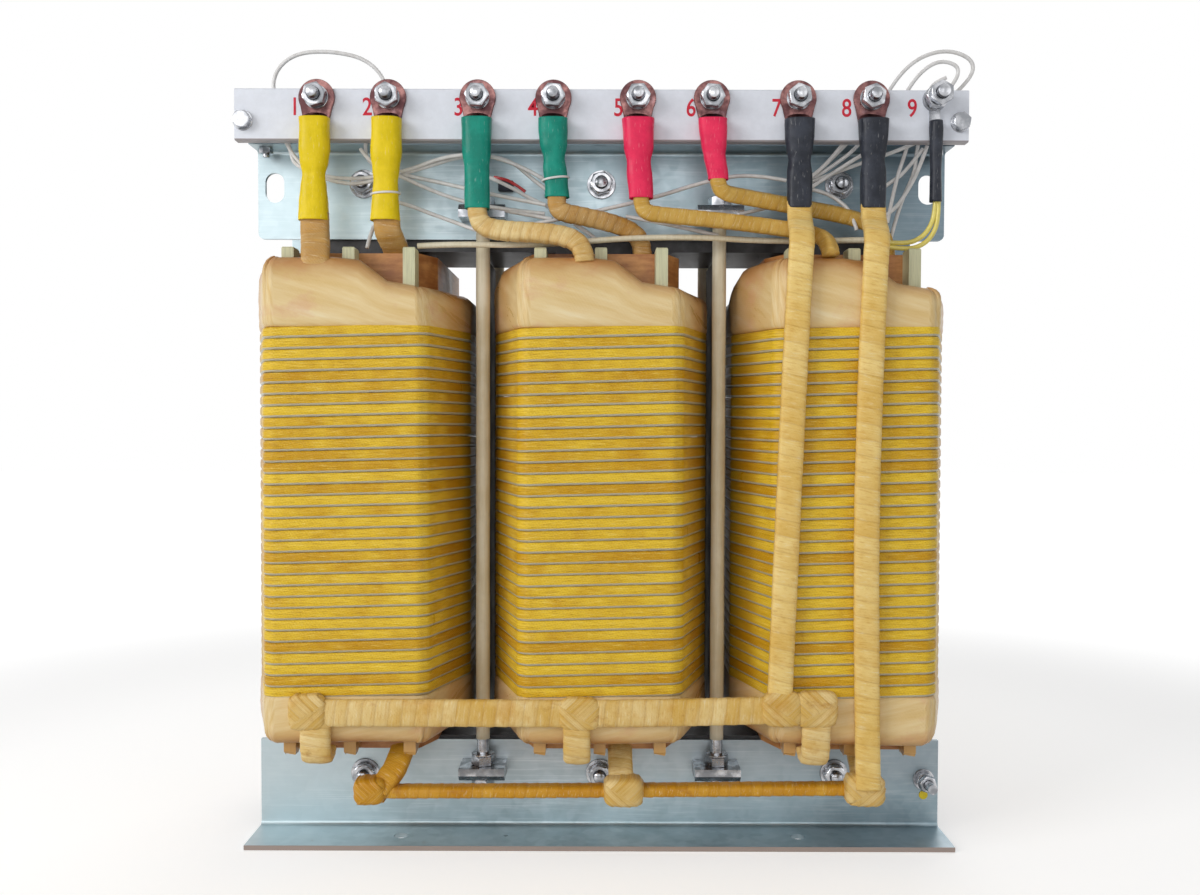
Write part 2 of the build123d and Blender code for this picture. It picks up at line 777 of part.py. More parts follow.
# Lugs: a flat ring that narrows into the sleeve
with BuildPart() as terminal_lugs:
    with BuildSketch(Plane.XZ.offset(board_face)):
        with Locations(*[(x, stud_z) for x in terminal_x]):
            Circle(lug_ring_radius)
            Polygon(
                (-lug_neck_top / 2, 0),
                (-lug_neck_bottom / 2, sleeve_top - stud_z),
                (lug_neck_bottom / 2, sleeve_top - stud_z),
                (lug_neck_top / 2, 0),
                align=None,
            )
            Circle(stud_radius + stud_clearance, mode=Mode.SUBTRACT)
    extrude(amount=lug_thickness)
write("terminal_lugs", terminal_lugs.part)


def cable_sleeve(x, length, lead_width, lead_thickness):
    """Shrunk sleeve: full at the lug's barrel, waisted, and full at the lead."""
    rings = (
        (0.0, sleeve_half_width, sleeve_half_depth),
        (0.34, sleeve_half_width, sleeve_half_depth),
        (0.55, sleeve_half_width * sleeve_waist, sleeve_half_depth * 0.9),
        (1.0, lead_width / 2 + sleeve_wall, lead_thickness / 2 + sleeve_wall),
    )
    with BuildPart() as sleeve:
        for share, half_x, half_y in rings:
            with BuildSketch(Plane.XY.offset(sleeve_top - share * length)):
                with Locations((x, -sleeve_y)):
                    Ellipse(half_x, half_y)
        loft(ruled=True)
    return sleeve.part


sleeve_sizes = zip(terminal_x, sleeve_lengths, lead_widths, lead_thicknesses)
sleeves = [cable_sleeve(*sizes) for sizes in sleeve_sizes]
pairs = zip(sleeves[::2], sleeves[1::2])
for colour, pair in zip(("yellow", "green", "red", "black"), pairs):
    write(f"cable_sleeves_{colour}", *pair)
with BuildPart() as earth_sleeve:
    with BuildSketch(Plane.XY.offset(sleeve_top - earth_sleeve_length)):
        with Locations((earth_x, -board_face - earth_sleeve_radius - sleeve_back_gap)):
            Circle(earth_sleeve_radius)
    extrude(amount=earth_sleeve_length)
write("earth_sleeve", earth_sleeve.part)
with BuildPart() as earth_lug:
    with BuildSketch(Plane.XZ.offset(board_face)):
        with Locations((earth_x, stud_z)):
            Circle(earth_lug_ring_radius)
        with Locations((earth_x, (stud_z + sleeve_top) / 2)):
            Rectangle(earth_lug_width, stud_z - sleeve_top)
        with Locations((earth_x, stud_z)):
            Circle(stud_radius + stud_clearance, mode=Mode.SUBTRACT)
    extrude(amount=lug_thickness)
write("earth_lug", earth_lug.part)


# Taped leads
def taped_bar(points, width, thickness, edge):
    """Bar with blunt edges along a route, its width lying along X at the start."""
    with BuildPart() as bar:
        with BuildLine() as path:
            FilletPolyline(*points, radius=arc_radii(points))
        start = Plane(origin=points[0], x_dir=(1, 0, 0), z_dir=path.line % 0)
        with BuildSketch(start) as section:
            Rectangle(width, thickness)
            chamfer(section.vertices(), edge)
        sweep()
    return bar.part


def set_off(points, x, y, z):
    """Chosen points of a route, moved from a place that they belong to."""
    return [(x + dx, y + dy, z + dz) for dx, dy, dz in points]


# Leads from the sleeves to the coils, and the two neutral risers down the right-hand coil
def lead_route(x, sleeve_length, landing, between):
    """Straight down from a sleeve's mouth, through chosen points, and straight down again.

    The chosen points are set off from the sleeve's axis and the coil's shoulder.
    """
    mouth = (x, -sleeve_y, sleeve_top - sleeve_length)
    below = (x, -sleeve_y, mouth[2] - lead_first_run)
    above = (landing[0], landing[1], landing[2] + lead_last_run)
    return [mouth, below, *set_off(between, x, -sleeve_y, shoulder_top), above, landing]


outer_landing = -(outer_inside_y + outer_build / 2)
inner_landing = -(inner_half_y - inner_build / 2)
riser_shift = sleeve_y - riser_y
landings = []
for leg, outer_offset in zip(leg_centres, outer_lead_offsets):
    landings.append((leg + outer_offset, outer_landing, shoulder_top))
    landings.append((leg + inner_lead_offset, inner_landing, inner_top))
landings.append((upper_knot_x[-1], -riser_y, star_bar_z + knot_height / 2))
landings.append((lower_knot_x[-1], -riser_y, lower_bar_z + lower_knot_height / 2))
lead_shapes = {
    "lead_outer_left": (),
    "lead_inner_left": (),
    "lead_outer_middle": (
        (6.0, -2.3, 24.2),
        (23.0, -4.8, 21.2),
        (51.0, -7.8, 19.2),
        (75.0, -11.3, 17.2),
    ),
    "lead_inner_middle": (
        (5.5, 0.7, 37.2),
        (22.5, 5.2, 35.2),
        (52.5, 15.2, 30.2),
        (67.5, 21.7, 24.2),
    ),
    "lead_outer_right": (
        (5.0, -0.3, 37.2),
        (21.0, 1.7, 35.2),
        (71.0, 6.2, 31.7),
        (121.0, 10.7, 26.2),
        (142.0, 6.2, 20.2),
    ),
    "lead_inner_right": (
        (5.0, 0.7, 52.7),
        (22.0, 8.2, 52.2),
        (68.0, 17.7, 45.7),
        (118.0, 19.7, 37.2),
        (140.0, 22.2, 26.2),
    ),
    "neutral_riser_outer": (
        (-2.0, riser_shift, 9.2),
        (-10.0, riser_shift, -77.8),
        (-15.0, riser_shift, -217.8),
    ),
    "neutral_riser_inner": (
        (-2.5, riser_shift, 9.2),
        (-8.5, riser_shift, -77.8),
        (-9.5, riser_shift, -247.8),
    ),
}
lead_bars = zip(lead_widths, lead_thicknesses, lead_edges)
lead_ends = zip(terminal_x, sleeve_lengths, landings)
for name, ends, sizes in zip(lead_shapes, lead_ends, lead_bars):
    write(name, taped_bar(lead_route(*ends, lead_shapes[name]), *sizes))


def knot(back, depth, height):
    """Cross-wrapped joint, blunt at the front, with its middle at X and Z zero."""
    with BuildPart() as wrap:
        with BuildSketch(Plane.XZ.offset(back)):
            Rectangle(knot_width, height)
        extrude(amount=depth)
        chamfer(wrap.faces().sort_by(Axis.Y)[0].edges(), knot_edge)
        chamfer(wrap.edges().filter_by(Axis.Y), riser_edge)
    return wrap.part


# Upper star bar: joins the outer coils at their lower ends
strap_back = outer_half_y + band_proud + riser_gap
with BuildPart() as star_bar_upper:
    with BuildSketch(Plane.XZ.offset(strap_back)):
        with BuildLine():
            Polyline(
                (upper_knot_x[0], star_bar_z - star_bar_height / 2),
                (upper_knot_x[2], star_bar_z - star_bar_height / 2),
                (upper_knot_x[2], star_bar_z + star_bar_height / 2),
                (upper_knot_x[0], star_bar_z + star_bar_height / 2),
                close=True,
            )
        make_face()
    extrude(amount=lead_thicknesses[-1])
    chamfer(star_bar_upper.edges().filter_by(Axis.X), riser_edge)
    with Locations(*[(x, 0, star_bar_z) for x in (*upper_knot_x, upper_tap_x[2])]):
        add(knot(strap_back, knot_depth, knot_height))
    with BuildSketch(Plane.XZ.offset(strap_back)):
        for x in upper_tap_x:
            with Locations((x, (star_bar_z + upper_tap_z) / 2)):
                Rectangle(upper_tap_width, star_bar_z - upper_tap_z)
    extrude(amount=lead_thicknesses[-1])
    with BuildSketch(Plane.XY.offset(upper_tap_z)):
        for x in upper_tap_x:
            with Locations((x, -(strap_back + outer_inside_y) / 2)):
                Rectangle(upper_tap_width, strap_back - outer_inside_y)
    extrude(amount=band_bottom - upper_tap_z)
write("star_bar_upper", star_bar_upper.part)

# Lower star bar: joins the inner coils under the outer ones
with BuildPart() as star_bar_lower:
    with BuildSketch(Plane.YZ.offset(lower_knot_x[0])) as section:
        with Locations((lower_bar_y, lower_bar_z)):
            Rectangle(lower_bar_depth, lower_bar_thickness)
        chamfer(section.vertices(), riser_edge)
    extrude(amount=lower_knot_x[2] - lower_knot_x[0])
    with Locations(*[(x, 0, lower_bar_z) for x in lower_knot_x]):
        add(knot(lower_knot_back, lower_knot_depth, lower_knot_height))
    tap_back = inner_half_y - inner_build
    for x in lower_knot_x:
        with BuildSketch(Plane.YZ.offset(x - lower_tap_width / 2)):
            with BuildLine():
                Polyline(
                    (-tap_back - lower_tap_thickness, inner_bottom),
                    (-lower_knot_back, lower_bar_z + lower_knot_height / 2),
                    (-lower_knot_back, lower_bar_z + lower_knot_height / 2 - lower_tap_thickness),
                    (-tap_back, inner_bottom - lower_tap_thickness / 2),
                    (-tap_back, inner_bottom),
                    close=True,
                )
            make_face()
        extrude(amount=lower_tap_width)
write("star_bar_lower", star_bar_lower.part)


# Thin wires, plain round-section stand-ins with few sides
def wire(radius, *points):
    """One insulated wire along chosen points."""
    with BuildPart() as run:
        with BuildLine() as path:
            FilletPolyline(*points, radius=arc_radii(points))
        with BuildSketch(Plane(origin=points[0], z_dir=path.line % 0)):
            RegularPolygon(radius, wire_sides)
        sweep()
    return run.part


def sensor_wire(*points):
    """One thin wire, its points set off from the board's back and the upper clamp's top."""
    return wire(sensor_wire_radius, *set_off(points, 0, -board_back, upper_clamp_top))


write(
    "sensor_wires",
    sensor_wire(
        (-46.0, 2.0, -34.0),
        (-75.0, 0.0, -17.0),
        (-120.0, -0.5, -13.0),
        (-165.0, 2.0, -30.0),
        (-215.0, 8.0, -34.0),
        (-250.0, 7.0, -23.0),
        (-254.0, 8.0, -11.0),
        (-258.0, 8.0, 7.0),
        (-264.0, 11.0, 23.0),
        (-272.0, 15.0, 51.0),
        (-255.0, 15.0, 71.0),
        (-222.0, 14.5, 73.5),
        (-190.0, 15.0, 66.0),
        (-174.0, 16.0, 43.0),
        (-182.0, 12.0, 23.0),
        (-190.0, 8.0, 8.0),
        (-194.0, 8.0, -11.0),
        (-187.0, 5.0, -22.0),
        (-165.0, 5.0, -29.0),
        (-130.0, 5.0, -36.0),
        (-90.0, 1.0, -46.0),
        (-45.0, -2.0, -55.0),
    ),
    sensor_wire(
        (238.0, 12.0, -79.0),
        (246.0, 14.0, -49.0),
        (256.0, 8.0, -27.0),
        (257.0, 8.0, -11.0),
        (261.0, 8.0, 8.0),
        (270.0, 13.0, 24.0),
        (290.0, 16.0, 39.0),
        (306.0, 15.0, 57.0),
        (303.0, 14.0, 69.0),
        (282.0, 14.0, 76.0),
        (257.0, 14.0, 68.0),
        (238.0, 16.0, 47.0),
        (226.0, 12.0, 21.0),
        (212.0, 5.0, -2.0),
        (196.0, 5.0, -17.0),
        (170.0, 8.0, -33.0),
    ),
    sensor_wire(
        (234.0, 8.0, -67.0),
        (240.0, 6.0, -33.0),
        (248.0, 8.0, -11.0),
        (253.0, 8.0, 8.0),
        (264.0, 9.0, 24.0),
        (284.0, 10.0, 41.0),
        (294.0, 9.0, 59.0),
        (278.0, 9.0, 66.0),
        (262.0, 9.0, 58.0),
        (248.0, 10.0, 39.0),
        (240.0, 8.5, 18.0),
        (228.0, 4.5, -4.0),
        (204.0, 3.0, -17.0),
        (168.0, 2.0, -41.0),
    ),
    sensor_wire(
        (-72.0, -3.0, -74.0),
        (-36.0, -2.0, -67.0),
        (8.0, -5.0, -57.8),
        (46.0, 4.0, -47.0),
        (88.0, 1.0, -34.0),
        (122.0, 0.0, -29.0),
        (150.0, 2.0, -34.0),
    ),
)
shield_points = (
    (-148.0, -6.0, -2.0),
    (-118.0, -7.0, -0.5),
    (-75.0, -8.0, -1.5),
    (-30.0, -8.5, 0.0),
    (20.0, -8.5, 4.5),
    (80.0, -5.0, 6.0),
    (125.0, 3.0, 4.5),
    (170.0, 0.0, 3.5),
    (215.0, -7.0, 4.0),
    (243.0, -11.0, 1.0),
    (260.0, -15.0, 13.0),
)
earth_mouth = (
    earth_x,
    -board_face - earth_sleeve_radius - sleeve_back_gap,
    sleeve_top - earth_sleeve_length,
)
shield_wire = wire(
    shield_wire_radius,
    *set_off(shield_points, 0, -board_back, window_top),
    (earth_mouth[0], earth_mouth[1], earth_mouth[2] - shield_last_run),
    earth_mouth,
)
write("shield_wires", shield_wire)

# Earth stud on the lower clamp, with its nut, washer and round mark. Its shank fills the clamp
# and the nut, and the thinner free end takes the earth conductor.
clamp_nut_face = clamp_face + board_washer_thickness + board_head_height
with BuildPart() as clamp_stud:
    with BuildSketch(Plane.XZ.offset(half_stack)):
        with Locations((clamp_stud_x, clamp_stud_z)):
            Circle(clamp_shank_radius)
    extrude(amount=clamp_nut_face - half_stack)
    with BuildSketch(Plane.XZ.offset(clamp_nut_face)):
        with Locations((clamp_stud_x, clamp_stud_z)):
            Circle(clamp_stud_radius)
    extrude(amount=clamp_face + clamp_stud_length - clamp_nut_face)
    with BuildSketch(Plane.XZ.offset(half_stack)):
        with Locations((clamp_stud_x, clamp_stud_z)):
            RegularPolygon(board_head_across / 2, 6, major_radius=False)
    extrude(amount=-board_head_height)
write("earth_stud", clamp_stud.part)
with BuildPart() as clamp_stud_nut:
    with BuildSketch(Plane.XZ.offset(clamp_face)):
        with Locations((clamp_stud_x, clamp_stud_z)):
            Circle(clamp_stud_washer_radius)
            Circle(clamp_shank_radius, mode=Mode.SUBTRACT)
    extrude(amount=board_washer_thickness)
    with BuildSketch(Plane.XZ.offset(clamp_face + board_washer_thickness)):
        with Locations((clamp_stud_x, clamp_stud_z)):
            RegularPolygon(board_head_across / 2, 6, major_radius=False)
            Circle(clamp_shank_radius, mode=Mode.SUBTRACT)
    extrude(amount=board_head_height)
write("earth_nut", clamp_stud_nut.part)
with BuildPart() as clamp_mark:
    with BuildSketch(Plane.XZ.offset(clamp_face)):
        with Locations((clamp_stud_x, clamp_stud_z - mark_drop)):
            Circle(mark_radius)
    extrude(amount=mark_thickness)
write("earth_mark", clamp_mark.part)

# Temperature sensor block on the upper clamp
with BuildPart() as sensor:
    with BuildSketch(Plane.XZ.offset(clamp_face)):
        with Locations((sensor_x, sensor_z)):
            RectangleRounded(sensor_width, sensor_height, 1.5)
    extrude(amount=sensor_depth)
write("temperature_sensor", sensor.part)
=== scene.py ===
"""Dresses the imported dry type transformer: coils, tape, sleeves, wires, fasteners and finishes.

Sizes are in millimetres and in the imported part's own frame: X runs along the row of coils,
the terminals face -Y, and the floor is Z = 0. Meshes are turned into metres as they are made.
"""

from __future__ import annotations

import logging
import math
import random
from dataclasses import dataclass
from enum import Enum
from typing import Callable, Iterable, Sequence

import bmesh
import bpy
from mathutils import Euler, Matrix, Vector

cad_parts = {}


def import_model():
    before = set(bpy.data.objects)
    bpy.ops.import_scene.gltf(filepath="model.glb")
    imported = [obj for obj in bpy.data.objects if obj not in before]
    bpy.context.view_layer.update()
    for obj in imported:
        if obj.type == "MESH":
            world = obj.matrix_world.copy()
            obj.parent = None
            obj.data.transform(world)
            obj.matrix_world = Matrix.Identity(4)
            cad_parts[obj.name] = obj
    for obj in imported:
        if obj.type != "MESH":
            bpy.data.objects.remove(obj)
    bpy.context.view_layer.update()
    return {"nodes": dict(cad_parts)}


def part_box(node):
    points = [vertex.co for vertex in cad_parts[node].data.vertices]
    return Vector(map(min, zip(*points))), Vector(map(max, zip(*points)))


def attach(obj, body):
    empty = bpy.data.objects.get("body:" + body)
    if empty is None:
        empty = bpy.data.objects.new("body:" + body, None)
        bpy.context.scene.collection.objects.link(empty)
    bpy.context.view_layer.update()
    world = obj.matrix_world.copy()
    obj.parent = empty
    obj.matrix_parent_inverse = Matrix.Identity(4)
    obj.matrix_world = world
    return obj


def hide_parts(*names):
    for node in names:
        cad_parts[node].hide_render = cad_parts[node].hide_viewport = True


LOG = logging.getLogger("dry_type_transformer")
MM = 0.001
UP = (0.0, 0.0, 1.0)
ROOT = "root"
Point = tuple[float, float, float]
Flat = tuple[float, float]
Colour = tuple[float, float, float]
Piece = bpy.types.Object
Material = bpy.types.Material
Node = bpy.types.Node
Socket = bpy.types.NodeSocket
Painted = tuple[Socket, Socket, Socket, float, float]


# ---------------------------------------------------------------------------
# Mesh helpers
# ---------------------------------------------------------------------------
def linked(name: str, data: bpy.types.ID) -> Piece:
    """Make an object of a mesh, curve, lamp or camera, and put it in the scene."""
    thing = bpy.data.objects.new(name, data)
    bpy.context.scene.collection.objects.link(thing)
    return thing


def mesh_piece(
    name: str,
    points: Sequence[Sequence[float]],
    faces: Sequence[Sequence[int]],
    finish: Material,
    smooth: bool = True,
    tape: Sequence[Flat] | None = None,
) -> Piece:
    """Make an object from points in millimetres.

    Args:
        name: The piece's name.
        points: Its points, in millimetres.
        faces: Point numbers of each face, seen anticlockwise from outside.
        finish: Its material.
        smooth: Whether the faces are shaded smooth.
        tape: Two numbers for each point, kept in the UV map "Tape".

    Returns:
        The new object, linked to the scene.
    """
    mesh = bpy.data.meshes.new(name)
    mesh.from_pydata([[MM * c for c in p] for p in points], [], [list(f) for f in faces])
    mesh.validate()
    if tape is not None:
        layer = mesh.uv_layers.new(name="Tape")
        for loop in mesh.loops:
            layer.data[loop.index].uv = tape[loop.vertex_index]
    mesh.materials.append(finish)
    mesh.polygons.foreach_set("use_smooth", [smooth] * len(mesh.polygons))
    return linked(name, mesh)


def ring_faces(rings: int, around: int, capped: bool = True, closed: bool = False) -> list[list[int]]:
    """Faces that join rings of points into one skin.

    Args:
        rings: How many rings there are.
        around: How many points each ring has.
        capped: Whether the first and last rings are closed with a face.
        closed: Whether the last ring joins the first.

    Returns:
        The point numbers of each face.
    """
    faces: list[list[int]] = []
    for ring in range(rings if closed else rings - 1):
        here, above = ring * around, ((ring + 1) % rings) * around
        for i in range(around):
            j = (i + 1) % around
            faces.append([here + i, here + j, above + j, above + i])
    if capped and not closed:
        faces.append(list(range(around))[::-1])
        faces.append([(rings - 1) * around + i for i in range(around)])
    return faces


def skin(
    name: str,
    points: Sequence[Point],
    around: int,
    finish: Material,
    capped: bool = True,
    closed: bool = False,
    smooth: bool = True,
    tape: Sequence[Flat] | None = None,
    merged: bool = True,
) -> Piece:
    """Make one closed piece of rings of points, with every face turned outwards.

    Args:
        name: The piece's name.
        points: The rings' points one after another, in millimetres.
        around: How many points each ring has.
        finish: Its material.
        capped: Whether the first and last rings are closed with a face.
        closed: Whether the last ring joins the first.
        smooth: Whether the faces are shaded smooth.
        tape: Two numbers for each point, kept in the UV map "Tape".
        merged: Whether points in the same place become one.

    Returns:
        The closed piece.
    """
    faces = ring_faces(len(points) // around, around, capped, closed)
    piece = mesh_piece(name, points, faces, finish, smooth, tape)
    work = bmesh.new()
    work.from_mesh(piece.data)
    if merged:
        bmesh.ops.remove_doubles(work, verts=work.verts, dist=1e-6)
    bmesh.ops.recalc_face_normals(work, faces=work.faces)
    work.to_mesh(piece.data)
    work.free()
    return piece


def circle(around: int, half_x: float, half_y: float, start: float = 0.0) -> list[Flat]:
    """Points round an ellipse, anticlockwise from the angle `start`."""
    angles = [start + 2 * math.pi * k / around for k in range(around)]
    return [(half_x * math.cos(a), half_y * math.sin(a)) for a in angles]


def moved(piece: Piece, x: float, y: float, z: float) -> Piece:
    """Shift a piece's mesh, in millimetres."""
    piece.data.transform(Matrix.Translation((x * MM, y * MM, z * MM)))
    return piece


def from_bench(name: str, bench: bmesh.types.BMesh, finish: Material) -> Piece:
    """Make an object of a bmesh in metres, and free the bmesh."""
    mesh = bpy.data.meshes.new(name)
    bench.to_mesh(mesh)
    bench.free()
    mesh.materials.append(finish)
    return linked(name, mesh)


def joined(name: str, pieces: Sequence[Piece]) -> Piece:
    """Join several pieces into one object.

    Args:
        name: The joined piece's name.
        pieces: Two or more pieces with plain meshes.

    Returns:
        The one object that is left.
    """
    bpy.ops.object.select_all(action="DESELECT")
    for piece in pieces:
        piece.select_set(True)
    bpy.context.view_layer.objects.active = pieces[0]
    bpy.ops.object.join()
    whole = bpy.context.view_layer.objects.active
    whole.name = name
    whole.data.name = name
    return whole


def made_plain(piece: Piece) -> Piece:
    """Replace a piece's mesh or curve by what its modifiers make of it.

    Args:
        piece: An object with modifiers or a curve.

    Returns:
        The piece, as a plain mesh without modifiers.
    """
    bpy.context.view_layer.update()
    evaluated = piece.evaluated_get(bpy.context.evaluated_depsgraph_get())
    mesh = bpy.data.meshes.new_from_object(evaluated)
    mesh.name = piece.name
    if piece.type == "MESH":
        piece.modifiers.clear()
        piece.data = mesh
        return piece
    name = piece.name
    made = linked(f"{name}_mesh", mesh)
    discard(piece)
    made.name = name
    return made


def discard(*pieces: Piece) -> None:
    """Remove helper objects that a node tree has already read."""
    for piece in pieces:
        bpy.data.objects.remove(piece)


def seat(piece: Piece, slot: str, replaced: Iterable[str] = ()) -> Piece:
    """Fix a finished piece to the transformer.

    Args:
        piece: The piece, in its place.
        slot: The record's material slot that it follows.
        replaced: The CAD nodes that it stands for.

    Returns:
        The same piece.
    """
    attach(piece, ROOT)
    names = list(replaced)
    if names:
        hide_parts(*names)
    LOG.info("piece %s: %s, stands for %s", piece.name, slot, names or "nothing")
    return piece


def smoothstep(edge: float, width: float, value: float) -> float:
    """A soft step from 0 to 1 as value passes from edge to edge + width."""
    share = min(1.0, max(0.0, (value - edge) / width))
    return share * share * (3.0 - 2.0 * share)


def between(stops: Sequence[Flat], where: float) -> float:
    """Read a smooth profile.

    Args:
        stops: Pairs of place and value, in order of place.
        where: The place to read.

    Returns:
        The value there, eased between its neighbours.
    """
    if where <= stops[0][0]:
        return stops[0][1]
    for (low, first), (high, last) in zip(stops, stops[1:]):
        if where <= high:
            return first + (last - first) * smoothstep(low, high - low, where)
    return stops[-1][1]


def smooth_line(route: Sequence[Point], steps: int = 14) -> list[Vector]:
    """Points along the smooth spline of a route.

    Args:
        route: The route's points in millimetres.
        steps: Points between two of the route's points.

    Returns:
        Points on the NURBS spline, in millimetres.
    """
    curve = spline_curve("line", route, 0.0)
    curve.data.resolution_u = steps
    plain = made_plain(curve)
    line = [v.co / MM for v in plain.data.vertices]
    discard(plain)
    return line


def spline_curve(name: str, route: Sequence[Point], radius: float) -> Piece:
    """A round wire on one smooth spline.

    Args:
        name: The wire's name.
        route: The route's points in millimetres.
        radius: The wire's radius, or 0 for a bare line.

    Returns:
        The curve object.
    """
    curve = bpy.data.curves.new(name, "CURVE")
    curve.dimensions = "3D"
    spline = curve.splines.new("NURBS")
    spline.points.add(len(route) - 1)
    for place, point in zip(spline.points, route):
        place.co = (*[MM * c for c in point], 1.0)
    spline.order_u = 3
    spline.use_endpoint_u = True
    curve.resolution_u = 10
    curve.bevel_depth = radius * MM
    curve.bevel_resolution = 3
    curve.use_fill_caps = radius > 0
    return linked(name, curve)


def line_length(line: Sequence[Vector]) -> float:
    """Length of a chain of points."""
    return sum((b - a).length for a, b in zip(line, line[1:]))


def evenly(line: Sequence[Vector], step: float) -> list[Vector]:
    """Share a chain of points out evenly.

    Args:
        line: The chain.
        step: About how far apart the new points are.

    Returns:
        Points on the same chain, the same distance apart.
    """
    total = line_length(line)
    count = max(2, round(total / step))
    places, run, i = [line[0].copy()], 0.0, 0
    for k in range(1, count):
        target = total * k / count
        while i < len(line) - 2 and run + (line[i + 1] - line[i]).length < target:
            run += (line[i + 1] - line[i]).length
            i += 1
        leg = line[i + 1] - line[i]
        share = (target - run) / leg.length if leg.length else 0.0
        places.append(line[i] + leg * min(1.0, share))
    return [*places, line[-1].copy()]


def rounded(corners: Sequence[Flat], radius: float, arc: int, run: int) -> list[Flat]:
    """Round a closed outline's corners, with the same point count at any size.

    Args:
        corners: The outline's corners, anticlockwise.
        radius: The corner radius that is wanted.
        arc: Points on each corner.
        run: Points added along each straight side.

    Returns:
        The points of the rounded outline.
    """
    points: list[Flat] = []
    count = len(corners)
    bends: list[tuple[Vector, Vector, Vector]] = []
    for i, corner in enumerate(corners):
        here = Vector(corner)
        back = Vector(corners[i - 1]) - here
        ahead = Vector(corners[(i + 1) % count]) - here
        half = back.angle(ahead) / 2
        cut = min(radius / math.tan(half), 0.42 * min(back.length, ahead.length))
        bends.append((here + back.normalized() * cut, here, here + ahead.normalized() * cut))
    for i, (start, peak, end) in enumerate(bends):
        for k in range(arc):
            t = k / (arc - 1)
            place = start * (1 - t) ** 2 + peak * 2 * t * (1 - t) + end * t * t
            points.append((place.x, place.y))
        onward = bends[(i + 1) % count][0]
        for k in range(1, run + 1):
            place = end.lerp(onward, k / (run + 1))
            points.append((place.x, place.y))
    return points


